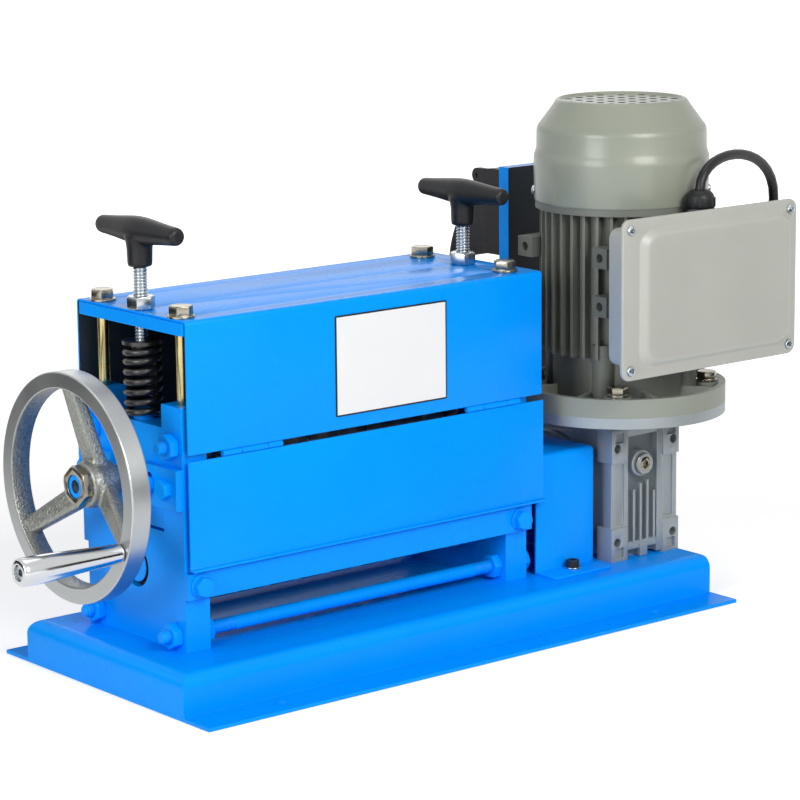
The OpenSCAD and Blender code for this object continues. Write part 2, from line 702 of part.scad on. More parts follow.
module crank_grip() color("#d8dadc") translate([grip_x[1], crank_y, crank_z]) rotate([0, -90, 0])
    rotate_extrude() difference() {
        polygon([
            [0, 0], [7, 0], [8, 3], [9, grip_l * 0.3], [grip_d / 2, grip_l * 0.75], [grip_d / 2,
                grip_l - 3],
            [grip_d / 2 - 3, grip_l], [0, grip_l]
        ]);
        square([crank_bolt_d / 2 + run_fit, grip_l + 1]);
        translate([0, grip_l - 10 - clear]) square([6.5 + run_fit, 20]);
    }

// Blade loading
block_y = slot_w / 2 - slide_fit;
spigot_d = spring_od - 2 * spring_wire - 4;
spigot_h = 8;
module bearing_blocks() color(BLUE) for (x = x_screws) difference() {
    union() {
        block(x - plate_t / 2, x + plate_t / 2, stand_y - block_y, stand_y + block_y, z_block,
            z_spring);
        zcyl(spigot_d, z_spring, z_spring + spigot_h, x, stand_y);
    }
    xcyl(high_bush_d + 2 * seat_fit, x - plate_t, x + plate_t, stand_y, z_blade);
    for (s = [-1, 1]) {
        xcyl(bar_bolt_d + 2 * seat_fit, x < stand_mid_x ? xl - 1 : xr - 10,
            x < stand_mid_x ? xl + 10 : xr + 1,
            stand_y + s * guide_y, z_blade);
    }
}
module upper_bushes() color("#b08d57") for (x = x_screws)
    bush(high_bush_d, blade_shaft_d, x - plate_t / 2, plate_t, z_blade);
seat_spigot = 9;
tip_hole = 6;
module spring_seats() color(STEEL) for (x = x_screws) difference() {
    union() {
        zcyl(spring_od, z_seat, z_seat + seat_t, x, stand_y);
        zcyl(spigot_d, z_seat - seat_spigot, z_seat, x, stand_y);
    }
    zcyl(screw_d + 2 * run_fit, z_seat + seat_t - tip_hole, z_seat + seat_t + 1, x, stand_y);
}
screw_in_handle = 20;
z_stem = z_handle - 8 - stem_l;
module loading_screw(x) color(STEEL)
    zcyl(screw_d, z_seat + seat_t - tip_hole, z_stem + screw_in_handle, x, stand_y);
module left_screw() loading_screw(x_screws[0]);
module right_screw() loading_screw(x_screws[1]);
handle_end_d = 12;
handle_mid_d = 20;
module t_handle(x) color(BLACK) difference() {
    union() {
        translate([x, stand_y, z_stem]) rotate_extrude() polygon([
            [0, 0], [8, 0], [9, 3], [9.5, stem_l], [handle_mid_d / 2, stem_l + 6], [0, stem_l + 12]
        ]);
        for (s = [-1, 1]) translate([x, stand_y, z_handle]) rotate([s * -90, 0, 0])
            rotate_extrude() polygon([
            [0, -2], [handle_mid_d / 2 - 1, -2], [handle_mid_d / 2 - 1.5, 10], [handle_end_d / 2,
                handle_l / 2 - 5],
            [handle_end_d / 2 - 2, handle_l / 2 - 1], [0, handle_l / 2]
        ]);
    }
    zcyl(screw_d + 2 * seat_fit, z_stem - 1, z_stem + screw_in_handle + 0.5, x, stand_y);
}
module left_handle() t_handle(x_screws[0]);
module right_handle() t_handle(x_screws[1]);

// Coil springs: one tube each, swept along a helix with closed ends
curl_rings = 8;
tube_sides = 6;
coil_r = (spring_od - spring_wire) / 2;
end_rise = spring_wire * 1.12;
open_turns = spring_turns - 2;
open_rise = (spring_l - spring_wire - 2 * end_rise) / open_turns;
coil_rings = spring_turns * curl_rings;
// Height of the wire's middle after a number of turns
function coil_h(t) = spring_wire / 2 + (t < 1 ? t * end_rise : t > spring_turns - 1
    ? end_rise + open_turns * open_rise + (t - spring_turns + 1) * end_rise
    : end_rise + (t - 1) * open_rise);
function coil_point(t) = [coil_r * cos(360 * t), coil_r * sin(360 * t), coil_h(t)];
function unit(v) = v / norm(v);
// The helix, with a straight end of one wire diameter on each side
coil_path = [
    coil_point(0) - [0, spring_wire, 0],
    for (i = [0 : coil_rings]) coil_point(i / curl_rings),
    coil_point(spring_turns) + [0, spring_wire, 0]
];
function path_dir(p, i) = unit(p[min(i + 1, len(p) - 1)] - p[max(i - 1, 0)]);
function ring_points(p, i, r, sides, up) = let (
    d = path_dir(p, i), u = unit(up - d * (up * d)), v = cross(d, u)
) [for (k = [0 : sides - 1]) p[i] + r * (u * cos(360 * k / sides) + v * sin(360 * k / sides))];
// A closed tube along a path
module tube(p, r, sides, up) {
    n = len(p);
    points = [for (i = [0 : n - 1]) each ring_points(p, i, r, sides, up)];
    walls = [for (i = [0 : n - 2], k = [0 : sides - 1]) let (
        a = i * sides + k, b = i * sides + (k + 1) % sides
    ) each [[a, a + sides, b], [b, a + sides, b + sides]]];
    caps = [for (k = [1 : sides - 2]) each [[0, k, k + 1],
        [(n - 1) * sides, (n - 1) * sides + k + 1, (n - 1) * sides + k]]];
    polyhedron(points, concat(walls, caps));
}
// Least gap of the coil to itself, over points half a turn or more apart along it
coil_gap = min([
    for (i = [0 : 2 * coil_rings], j = [i + curl_rings : 2 * coil_rings])
        norm(coil_point(j / curl_rings / 2) - coil_point(i / curl_rings / 2)) - spring_wire
]);
echo(coil_gap = coil_gap);
module loading_springs() color(BLACK) for (x = x_screws)
    translate([x, stand_y, z_spring]) tube(coil_path, spring_wire / 2, tube_sides, [0, 0, 1]);

// Gear cover between the stand and the gearbox
module gear_cover() color(BLUE) difference() {
    union() {
        block(cover_x[0], cover_x[1], cover_y[0], cover_y[1], pan_h, cover_top);
        block(cover_x[0], cover_x[1], cover_y[0] - cover_lip, cover_y[1] + cover_lip, pan_h,
            pan_h + cover_sheet);
    }
    block(cover_x[0] - 1, cover_x[1] - cover_sheet, cover_y[0] + cover_sheet,
        cover_y[1] - cover_sheet, pan_h - 1,
        cover_top - cover_sheet);
    xcyl(roller_shaft_d + 12, cover_x[0], cover_x[1] + 1, stand_y, z_roller);
    for (i = [0, 1]) zcyl(small_d + 2 * clear, pan_h - 1, pan_h + 9, pan_screws_at[i][0],
        pan_screws_at[i][1]);
}

// Worm gearbox
chamber_d = 82;
chamber_w = 34;
side_cover_d = 88;
worm_bore = 34;
worm_tube_d = 28;
worm_foot_d = 17;
lug = 20;
face_step = 6;
gearbox_top = z_roller + roller_h;
plug_z = z_roller + 26;
module gearbox_housing() color(ALLOY) difference() {
    union() {
        block(gearbox_x0 + 5, gearbox_x1 - 5, y_gear_front + face_step, y_gear_back - face_step,
            pan_h + 4,
            gearbox_top - 4);
        xcyl(side_cover_d + 10, gearbox_x0, gearbox_x1, stand_y, z_roller);
        for (sx = [-1, 1], y = [y_gear_front, y_gear_back - lug], z = [pan_h, gearbox_top - lug * 1.3])
            block(gearbox_x + sx * (gearbox_w - lug) / 2 - lug / 2,
                gearbox_x + sx * (gearbox_w - lug) / 2 + lug / 2,
                y, y + lug, z, z + lug * 1.3);
        for (sx = [-1, 1])
            block(gearbox_x + sx * (gearbox_w / 2 - 5) - 4, gearbox_x + sx * (gearbox_w / 2 - 5) + 4,
                y_gear_front + 2, y_gear_front + lug, pan_h + 2, gearbox_top - 2);
        for (i = [-1.5 : 1.5])
            block(gearbox_x + i * 10 - 2, gearbox_x + i * 10 + 2, y_gear_front + 2, y_gear_front + lug,
                pan_h + 6, z_roller + 6 + 3 * i);
        ycyl(24, y_gear_front + 1, y_gear_front + lug, gearbox_x - 4, plug_z);
        zcyl(worm_bore + 14, pan_h, gearbox_top, gearbox_x, worm_y);
        block(gearbox_x - 30, gearbox_x + 30, y_gear_front + 2, y_gear_front + lug, pan_h, pan_h + 6);
    }
    xcyl(chamber_d, gearbox_x - chamber_w / 2, gearbox_x + chamber_w / 2, stand_y, z_roller);
    for (s = [-1, 1]) xcyl(side_cover_d - 8 + 2 * seat_fit,
        s < 0 ? gearbox_x0 - 1 : gearbox_x + chamber_w / 2 - 1,
        s < 0 ? gearbox_x - chamber_w / 2 + 1 : gearbox_x1 + 1, stand_y, z_roller);
    zcyl(worm_bore, pan_h + 16, gearbox_top + 1, gearbox_x, worm_y);
    zcyl(worm_foot_d + 2 * run_fit, pan_h + 5, pan_h + 17, gearbox_x, worm_y);
    for (sx = [-1, 1], sz = [-1, 1]) {
        ycyl(8.5, y_gear_front - 1, y_gear_front + 16, gearbox_x + sx * face_hole_x / 2,
            z_roller + sz * face_hole_z / 2);
        ycyl(8.5, y_gear_back - 16, y_gear_back + 1, gearbox_x + sx * face_hole_x / 2,
            z_roller + sz * face_hole_z / 2);
    }
    for (sx = [-1, 1], y = foot_y)
        zcyl(base_bolt_d + 2 * seat_fit, pan_h - 1, pan_h + base_bolt_up + 1,
            gearbox_x + sx * foot_x, y);
    ycyl(14 + 2 * seat_fit, y_gear_front - 1, y_gear_front + 14, gearbox_x - 4, plug_z);
}
hub_tube_d = 40;
cover_out = 4;
// Side covers that carry the hollow wheel, and the oil plug
module gearbox_covers() color(ALLOY) {
    for (s = [-1, 1]) difference() {
        union() {
            x_in = gearbox_x + s * chamber_w / 2;
            x_face = gearbox_x + s * gearbox_w / 2;
            xcyl(side_cover_d - 8, min(x_in + s, x_face), max(x_in + s, x_face), stand_y, z_roller);
            xcyl(side_cover_d, s < 0 ? x_face - cover_out : x_face,
                s < 0 ? x_face : x_face + cover_out, stand_y, z_roller);
            for (i = [0 : 5]) xhex(8, s < 0 ? x_face - cover_out - 3 : x_face + cover_out,
                s < 0 ? x_face - cover_out : x_face + cover_out + 3,
                stand_y + 36 * cos(60 * i + 30), z_roller + 36 * sin(60 * i + 30));
        }
        xcyl(hub_tube_d + 2 * run_fit, gearbox_x0 - 20, gearbox_x1 + 20, stand_y, z_roller);
    }
    difference() {
        union() {
            ycyl(18, y_gear_front - 4, y_gear_front + 1, gearbox_x - 4, plug_z);
            ycyl(14, y_gear_front + 1, y_gear_front + 12, gearbox_x - 4, plug_z);
        }
        yhex(7, y_gear_front - 5, y_gear_front, gearbox_x - 4, plug_z);
    }
}
// The gear teeth of the worm pair are short, so that they turn past each other freely
wheel_teeth = 40;
wheel_tip = worm_gap - 14;
worm_thread_r = 13;
worm_core_r = 9.5;
worm_turns = 5;
worm_thread_l = 56;
module worm_wheel() color("#b08d57") difference() {
    union() {
        toothed_wheel(wheel_teeth, wheel_tip - 3, wheel_tip - 1.5, wheel_tip, 26, gearbox_x - 13,
            z_roller, 0);
        xcyl(hub_tube_d, gearbox_x0 - 3, gearbox_x1 + 3, stand_y, z_roller);
    }
    xcyl(output_d + 2 * seat_fit, gearbox_x0 - 6, gearbox_x1 + 6, stand_y, z_roller);
}
z_worm_top = z_input - 4;
module worm() color(STEEL) translate([gearbox_x, worm_y, 0]) difference() {
    union() {
        translate([0, 0, pan_h + 6]) cylinder(d = worm_foot_d, h = 12);
        translate([0, 0, pan_h + 17]) cylinder(r = worm_core_r, h = z_roller - pan_h + 20);
        translate([0, 0, z_roller - worm_thread_l / 2])
            linear_extrude(worm_thread_l, twist = -360 * worm_turns, slices = 10 * worm_turns, $fn = 16)
                for (s = [-1, 1]) translate([s * (worm_thread_r - worm_core_r), 0]) circle(worm_core_r);
        translate([0, 0, z_roller + 34]) cylinder(d = worm_tube_d, h = z_worm_top - z_roller - 34);
    }
    translate([0, 0, z_roller + 40]) cylinder(d = motor_shaft_d + 2 * seat_fit, h = z_worm_top);
}
flange_bolt_r = flange_d / 2 - 17;
flange_bolt_d = 10;
module input_flange() color(ALLOY) translate([gearbox_x, worm_y, 0]) difference() {
    union() {
        translate([0, 0, z_input - input_flange_t]) cylinder(d = flange_d, h = input_flange_t,
            $fn = 96);
        translate([0, 0, gearbox_top]) cylinder(d = 78, h = z_input - gearbox_top - 1);
    }
    translate([0, 0, gearbox_top - 1]) cylinder(d = worm_tube_d + 2 * run_fit, h = z_input);
    for (i = [0 : 3]) rotate(45 + 90 * i) translate([flange_bolt_r, 0, z_input - input_flange_t - 1])
        cylinder(d = flange_bolt_d + 2 * seat_fit, h = 40);
}

// Motor
z_fins = z_input + fin_low;
z_frame_top = z_fins + frame_l;
bell_d = frame_d - 2;
shield_wall = 6;
pocket_depth = flange_t - 5;
rim_ring = 6;
boss_r = 60;
boss_d = 20;
boss_turn = 32;
module motor_flange() color(GREY) translate([gearbox_x, worm_y, z_input]) difference() {
    union() {
        difference() {
            cylinder(d = flange_d, h = flange_t, $fn = 96);
            translate([0, 0, flange_t - pocket_depth]) difference() {
                cylinder(d = flange_d - 2 * rim_ring, h = pocket_depth + 1);
                for (i = [0 : 7]) rotate(45 * i + 22.5) translate([0, -2, -1]) cube([flange_d / 2,
                    4, flange_t]);
                for (i = [0 : 3]) rotate(45 + 90 * i) translate([flange_bolt_r, 0, -1])
                    cylinder(d = 24, h = flange_t);
            }
        }
        cylinder(d = bell_d, h = fin_low);
        for (i = [0 : 3]) rotate(boss_turn + 90 * i) translate([boss_r, 0, 0]) cylinder(d = boss_d,
            h = fin_low);
    }
    translate([0, 0, shield_wall * 3]) cylinder(d = bell_d - 2 * shield_wall, h = fin_low);
    translate([0, 0, -1]) cylinder(d = motor_shaft_d + 2 * run_fit, h = fin_low);
    for (i = [0 : 3]) rotate(45 + 90 * i) translate([flange_bolt_r, 0, -1])
        cylinder(d = flange_bolt_d + 2 * clear, h = flange_t + 2);
}
module flange_bolts() color(GOLD) translate([gearbox_x, worm_y, z_input]) for (i = [0 : 3])
    rotate(45 + 90 * i) translate([flange_bolt_r, 0, 0]) {
        zhex(nut_af(flange_bolt_d), flange_t + washer_t,
            flange_t + washer_t + nut_h(flange_bolt_d), 0, 0);
        zcyl(flange_bolt_d, -input_flange_t, flange_t + washer_t, 0, 0);
        difference() {
            zcyl(flange_bolt_d * 2, flange_t, flange_t + washer_t, 0, 0);
            zcyl(flange_bolt_d + 2 * seat_fit, flange_t - 1, flange_t + washer_t + 1, 0, 0);
        }
    }
wall_t = 5;
fin_t = 2.6;
pad_reach = 72;
pad_l = 32;
pad_w = 18;
box_sector = 34;
boss_up = 12;
pad_y = 49;
pad_z = [z_fins + 50, z_fins + 93];
box_pad = 66;
box_w = 80;
box_z = z_input + lid_low + lid_h / 2;
module stator_frame() color(GREY) difference() {
    union() {
        zcyl(frame_d, z_fins, z_frame_top, gearbox_x, worm_y);
        for (i = [0 : fins - 1]) if (abs(i * 360 / fins - 270) > box_sector)
            translate([gearbox_x, worm_y, z_fins]) rotate(i * 360 / fins) translate([0, -fin_t / 2, 0])
                cube([fin_d / 2, fin_t, frame_l]);
        zcyl(rear_d, z_frame_top, z_frame_top + 14, gearbox_x, worm_y);
        block(gearbox_x - box_w / 2, gearbox_x + box_w / 2, worm_y - box_pad, worm_y, box_z - 45,
            box_z + 45);
        for (sx = [-1, 1], sy = [-1, 1], z = pad_z)
            translate([gearbox_x + sx * (pad_reach - pad_l / 2), worm_y + sy * pad_y, z])
                cube([pad_l, pad_w, pad_w], center = true);
        for (i = [0 : 3]) translate([gearbox_x, worm_y, z_fins]) rotate(boss_turn + 90 * i)
            translate([boss_r, 0, 0]) cylinder(d = boss_d, h = boss_up);
    }
    zcyl(frame_d - 2 * wall_t, z_fins - 1, z_frame_top - wall_t, gearbox_x, worm_y);
    zcyl(motor_shaft_d + 2 * run_fit, z_fins, z_frame_top + 20, gearbox_x, worm_y);
    for (sx = [-1, 1], sy = [-1, 1], z = pad_z)
        xcyl(8, sx < 0 ? gearbox_x - pad_reach - 1 : gearbox_x + pad_reach - 12,
            sx < 0 ? gearbox_x - pad_reach + 12 : gearbox_x + pad_reach + 1, worm_y + sy * pad_y, z);
    block(gearbox_x - 25, gearbox_x + 25, worm_y - box_pad - 1, worm_y - 20, box_z - 30, box_z + 30);
}
stator_d = frame_d - 2 * wall_t - 2 * seat_fit;
rotor_d = 70;
z_core = z_fins + 30;
core_l = 70;
module stator_core() color("#8a5a3a") difference() {
    union() {
        zcyl(stator_d, z_core, z_core + core_l, gearbox_x, worm_y);
        zcyl(stator_d - 14, z_core - 16, z_core + core_l + 16, gearbox_x, worm_y);
    }
    zcyl(rotor_d + 1, z_core - 20, z_core + core_l + 20, gearbox_x, worm_y);
}
z_fan = z_frame_top + 20;
fan_l = 26;
fan_d = 110;
fan_hub_d = 40;
fan_blade = [12, 60];
fan_t = 3;
module rotor() color(STEEL) {
    zcyl(motor_shaft_d, z_roller + 42, z_fan + fan_l, gearbox_x, worm_y);
    zcyl(rotor_d, z_core, z_core + core_l, gearbox_x, worm_y);
}
module cooling_fan() color(BLACK) translate([gearbox_x, worm_y, z_fan]) difference() {
    union() {
        cylinder(d = fan_d, h = fan_t);
        cylinder(d = fan_hub_d, h = fan_l);
        for (i = [0 : 7]) rotate(45 * i) translate([fan_blade[0], -fan_t / 2, 0])
            cube([fan_blade[1] - fan_blade[0], fan_t, fan_l - 2]);
    }
    translate([0, 0, -1]) cylinder(d = motor_shaft_d + 2 * seat_fit, h = fan_l + 2);
}
fan_cover_r = fan_cover_d / 2;
flare_h = 42;
chamfer_h = 28;
band_step = 2.7;
grille_r = fan_cover_r - 21.5;
cover_wall = 1.5;
rear_d = fan_cover_d - 2 * cover_wall - 2 * seat_fit;
module fan_cover_profile(inset) polygon([
    [0, -inset], [fan_cover_r - inset, -inset], [fan_cover_r - inset, flare_h - inset],
    [fan_cover_r - band_step - inset, flare_h + 1 - inset],
    [fan_cover_r - band_step - inset, fan_cover_l - chamfer_h - inset / 2],
    [grille_r - inset / 2, fan_cover_l - inset], [0, fan_cover_l - inset]
]);
module fan_cover() color(GREY) translate([gearbox_x, worm_y, z_input + fan_cover_low]) difference() {
    rotate_extrude($fn = 96) difference() {
        fan_cover_profile(0);
        fan_cover_profile(cover_wall);
    }
    for (k = [1 : 4], i = [0 : 6 * k - 1]) rotate(i * 60 / k + 10 * k)
        translate([grille_r * k / 4.6, 0, fan_cover_l - 5]) cylinder(d = 7, h = 10);
}

// Terminal box in front of the motor
lid_t = 4;
panel_t = 5;
y_lid = worm_y - lid_reach;
y_box = y_lid + panel_t + lid_t;
y_box_back = y_box + box_depth;
box_wall = 2.5;
lid_x = gearbox_x + 6;
box_in = [7, 8];
boss_l = 15;
screw_inset = 9;
lid_screws_at = [for (sx = [-1, 1], sz = [-1, 1])
    [lid_x + sx * (lid_w / 2 - screw_inset), box_z + sz * (lid_h / 2 - screw_inset)]];
gland_x = gearbox_x + 8;
gland_y = y_box + 13.3;
lead_d = 9;
z_box_top = box_z + lid_h / 2 - box_in[1];
module box_plate(w, h, r, y0, y1) translate([lid_x, y1, box_z]) rotate([90, 0, 0])
    linear_extrude(y1 - y0) round_rect(w, h, r);
module terminal_box() color("#c4c8c0") difference() {
    union() {
        difference() {
            box_plate(lid_w - 2 * box_in[0], lid_h - 2 * box_in[1], 9, y_box, y_box_back);
            box_plate(lid_w - 2 * (box_in[0] + box_wall), lid_h - 2 * (box_in[1] + box_wall), 7, y_box - 1,
                y_box_back - box_wall);
        }
        for (p = lid_screws_at) ycyl(10, y_box, y_box + boss_l, p[0], p[1]);
        block(gearbox_x - 36, gearbox_x + 36, y_box_back - box_wall, worm_y - box_pad, box_z - 40,
            box_z + 40);
    }
    block(gearbox_x - 25, gearbox_x + 25, y_box_back - 2 * box_wall, worm_y - box_pad + 1,
        box_z - 30, box_z + 30);
    for (p = lid_screws_at) ycyl(small_d + 2 * seat_fit, y_box - 1, y_box + 14, p[0], p[1]);
    zcyl(16 + 2 * seat_fit, z_box_top - 10, z_box_top + 1, gland_x, gland_y);
}
module terminal_lid() color("#c8ccc4") difference() {
    union() {
        box_plate(lid_w, lid_h, 10, y_lid + panel_t, y_box);
        translate([5.5, 0, 0]) box_plate(lid_w - 27, lid_h - 18, 14, y_lid, y_box);
    }
    for (p = lid_screws_at) ycyl(small_d + 2 * clear, y_lid - 1, y_box + 1, p[0], p[1]);
}
cap_can_d = 18;
cap_can_l = 60;
cap_can_drop = 45;
cap_can_gap = [1, 13];
box_in_x = lid_w / 2 - box_in[0] - box_wall;
cap_can_x = [lid_x - box_in_x + cap_can_gap[0], lid_x + box_in_x - cap_can_gap[1] - cap_can_l];
module capacitors() color(BLACK) for (x = cap_can_x)
    xcyl(cap_can_d, x, x + cap_can_l, y_box_back - box_wall - cap_can_d / 2, box_z - cap_can_drop);
// Small screws: terminal box lid, gear cover and switch bracket
module small_screws() color("#3a3a3c") {
    for (p = lid_screws_at) {
        ycyl(9, y_lid + panel_t - 3, y_lid + panel_t, p[0], p[1]);
        ycyl(small_d, y_lid + panel_t, y_box + 13, p[0], p[1]);
    }
    for (p = pan_screws_at) {
        zcyl(9, pan_h + p[2], pan_h + p[2] + 5, p[0], p[1]);
        zcyl(small_d, pan_h - 6, pan_h + p[2], p[0], p[1]);
    }
}

// The lead from the terminal box to the switch, held by a gland at each end
gland_h = 22;
gland_side = 11;
gland_up = 14.5;
switch_gland = [bracket_x + bracket_w - gland_side, bracket_y, box_z + gland_up];
module lead_glands() color(BLACK) {
    difference() {
        union() {
            zhex(25, z_box_top, z_box_top + 8, gland_x, gland_y);
            zcyl(16, z_box_top - 9, z_box_top, gland_x, gland_y);
            translate([gland_x, gland_y, z_box_top + 8]) cylinder(d1 = 22, d2 = 14, h = gland_h - 8);
        }
        zcyl(lead_d + 2 * seat_fit, z_box_top - 10, z_box_top + gland_h + 1, gland_x, gland_y);
    }
    difference() {
        union() {
            yhex(20, bracket_y - 6, bracket_y, switch_gland[0], switch_gland[2]);
            ycyl(12, bracket_y - 12, bracket_y + bracket_t, switch_gland[0], switch_gland[2]);
        }
        ycyl(lead_d + 2 * seat_fit, bracket_y - 13, bracket_y + bracket_t + 1, switch_gland[0],
            switch_gland[2]);
    }
}
lead_mouth = [gland_x, gland_y, z_box_top + gland_h + 1];
lead_out = 132;
lead_front = 60;
lead_drop = 11;
lead_rise = 42;
lead_hang = [4, -11, 70];
lead_run = 40;
lead_in = 14;
lead_side = [gearbox_x + lead_out, worm_y - lead_front, z_box_top - lead_drop];
lead_end = switch_gland - [0, lead_in, 0];
lead_bends = [
    [lead_mouth, lead_mouth + [0, 0, lead_rise], lead_side + lead_hang, lead_side],
    [lead_side, lead_side - lead_hang, lead_end - [0, lead_run, 0], lead_end]
];
lead_steps = 10;
lead_sides = 10;
// A point on a smooth bend between the first and last of four points
function bend_point(p, t) = p[0] * pow(1 - t, 3) + p[1] * 3 * t * pow(1 - t, 2)
    + p[2] * 3 * t * t * (1 - t) + p[3] * pow(t, 3);
lead_path = [
    lead_mouth - [0, 0, gland_h - 5],
    for (p = lead_bends, i = [0 : lead_steps - 1]) bend_point(p, i / lead_steps),
    lead_end,
    switch_gland
];
module motor_lead() color(BLACK) tube(lead_path, lead_d / 2, lead_sides, [1, 0.2, 0.1]);

// Switch on its channel bracket at the feed side
z_bracket = pan_h + bracket_h;
switch_x = [bracket_x + bracket_t + 1, bracket_x + bracket_w - bracket_t - 1];
switch_y = bracket_y + bracket_t;
switch_low = z_bracket - bracket_t - 1 - switch_h;
button_d = 22;
button_up = 26;
button_in = 24;
button_z = switch_low + button_up;
button_x = [switch_x[0] + button_in, switch_x[1] - button_in];
button_travel = 3;
switch_hollow = 14;
switch_face = switch_y + switch_depth - switch_hollow;
hinge_y = switch_y + switch_depth - 4;
hinge_z = z_bracket - bracket_t - 9;
ear_w = 5;
paddle_pin_d = 4;
module switch_bracket() color(BLUE) difference() {
    union() {
        block(bracket_x, bracket_x + bracket_w, bracket_y, bracket_y + bracket_t, pan_h, z_bracket);
        for (x = [bracket_x, bracket_x + bracket_w - bracket_t])
            block(x, x + bracket_t, bracket_y, bracket_y + bracket_flange, pan_h, z_bracket);
        block(bracket_x, bracket_x + bracket_w, bracket_y, bracket_y + bracket_flange,
            z_bracket - bracket_t,
            z_bracket);
        block(bracket_x, bracket_x + bracket_w, bracket_y, bracket_y + bracket_foot, pan_h,
            pan_h + bracket_t);
    }
    for (x = bracket_screw_x)
        zcyl(small_d + 2 * clear, pan_h - 1, pan_h + 10, x, bracket_y + bracket_foot - 8);
    ycyl(12 + 2 * seat_fit, bracket_y - 1, bracket_y + bracket_t + 1, switch_gland[0], switch_gland[2]);
}
module switch_body() color(BLACK) difference() {
    union() {
        translate([switch_x[0], 0, 0]) rotate([90, 0, 90])
            linear_extrude(switch_x[1] - switch_x[0]) polygon([
            [switch_y, switch_low], [switch_face, switch_low], [switch_face, switch_low + 46],
            [switch_face + 4, switch_low + 50], [switch_face + 4, switch_low + switch_h - 8],
            [switch_face - 2, switch_low + switch_h - 2], [switch_face - 8, switch_low + switch_h],
            [switch_y, switch_low + switch_h]
        ]);
        for (x = [switch_x[0], switch_x[1] - ear_w]) {
            xcyl(14, x, x + ear_w, hinge_y, hinge_z);
            block(x, x + ear_w, switch_face - 4, hinge_y, hinge_z - 7, hinge_z + 7);
        }
    }
    for (x = button_x) ycyl(button_d + 2 * clear, switch_face - 9, switch_face + 1, x, button_z);
    for (x = [switch_x[0], switch_x[1] - ear_w])
        xcyl(paddle_pin_d + 2 * run_fit, x - 1, x + ear_w + 1, hinge_y, hinge_z);
    ycyl(14, switch_y - 1, switch_y + 20, switch_gland[0], switch_gland[2]);
}
paddle_out = 44;
paddle_drop = 84;
paddle_bow = 81;
paddle_t = 3;
paddle_steps = 10;
function paddle_y(t) = hinge_y + paddle_out * sin(paddle_bow * t) / sin(paddle_bow);
module switch_paddle() color(BLACK) {
    x0 = switch_x[0] + ear_w + clear;
    x1 = switch_x[1] - ear_w - clear;
    translate([x0, 0, 0]) rotate([90, 0, 90]) linear_extrude(x1 - x0) polygon(concat(
        [for (i = [0 : paddle_steps]) [paddle_y(i / paddle_steps),
            hinge_z - paddle_drop * i / paddle_steps]],
        [for (i = [paddle_steps : -1 : 0])
            [paddle_y(i / paddle_steps) + paddle_t, hinge_z - paddle_drop * i / paddle_steps + 1]]
    ));
    xcyl(8, x0, x1, hinge_y, hinge_z);
    xcyl(paddle_pin_d, switch_x[0] + 1, switch_x[1] - 1, hinge_y, hinge_z);
}
module push_button(x) ycyl(button_d, switch_face - 9 + button_travel + 1, switch_face + 4, x, button_z);
module start_button() color("#1f9a4a") push_button(button_x[0]);
module stop_button() color("#c8201c") push_button(button_x[1]);

base_pan();
base_bolts();
left_end_plate();
right_end_plate();
tie_rods();
tie_rod_nuts();
keeper_plates();
frame_bolts();
lower_bushes();
cap_bars();
cap_bolts();
lock_nuts();
hood();
hood_hinges();
front_bar();
feed_plate();
gear_cover();
gearbox_housing();
gearbox_covers();
input_flange();
motor_flange();
flange_bolts();
stator_frame();
stator_core();
fan_cover();
terminal_box();
terminal_lid();
small_screws();
capacitors();
lead_glands();
motor_lead();
switch_bracket();
switch_body();
spring_seats();
left_screw();
left_handle();
right_screw();
right_handle();
bearing_blocks();
upper_bushes();
guide_bolts();
loading_springs();
blade_shaft();
cutting_blades();
blade_spacers();
blade_gear();
handwheel();
wheel_fasteners();
crank_grip();
feed_roller();
roller_gear();
worm_wheel();
worm();
rotor();
cooling_fan();
flap();
flap_hinges();
switch_paddle();
start_button();
stop_button();
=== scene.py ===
import logging
import math
from collections.abc import Callable, Iterator, Sequence
from contextlib import contextmanager
from dataclasses import dataclass
from enum import Enum

import bmesh
import bpy
from mathutils import Matrix, Vector


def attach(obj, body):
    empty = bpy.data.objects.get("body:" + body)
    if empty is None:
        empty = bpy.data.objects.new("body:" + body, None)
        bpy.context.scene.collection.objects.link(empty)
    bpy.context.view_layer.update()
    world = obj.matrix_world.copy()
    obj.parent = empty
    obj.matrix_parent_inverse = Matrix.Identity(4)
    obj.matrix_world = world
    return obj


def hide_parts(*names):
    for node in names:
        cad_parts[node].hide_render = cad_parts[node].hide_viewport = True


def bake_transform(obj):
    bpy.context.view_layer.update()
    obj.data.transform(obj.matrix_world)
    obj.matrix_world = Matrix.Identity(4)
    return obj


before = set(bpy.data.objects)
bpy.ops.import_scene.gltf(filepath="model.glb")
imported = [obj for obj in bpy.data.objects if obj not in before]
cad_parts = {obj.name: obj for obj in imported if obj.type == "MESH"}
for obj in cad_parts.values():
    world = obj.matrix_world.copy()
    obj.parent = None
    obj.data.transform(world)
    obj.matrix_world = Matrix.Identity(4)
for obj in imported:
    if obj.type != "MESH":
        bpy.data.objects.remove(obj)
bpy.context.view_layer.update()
MM = 0.001
IMAGE_SIDE = 800
log = logging.getLogger("wire_stripper")

Object = bpy.types.Object
Material = bpy.types.Material
Node = bpy.types.Node
Tree = bpy.types.NodeTree
Socket = bpy.types.NodeSocket
Pair = tuple[float, float]
Point = tuple[float, float, float]

X, Y, Z = range(3)
ORIGIN: Point = (0.0, 0.0, 0.0)
LEFT: Point = (-1.0, 0.0, 0.0)
RIGHT: Point = (1.0, 0.0, 0.0)
FRONT: Point = (0.0, -1.0, 0.0)
BACK: Point = (0.0, 1.0, 0.0)
UP: Point = (0.0, 0.0, 1.0)

# A bump's height as a share of its grain, the spread of a finish's roughness, and a coat's roughness
BUMP_SHARE = 0.3
GLOSS_SPREAD = (0.85, 1.2)
COAT_ROUGHNESS = 0.12
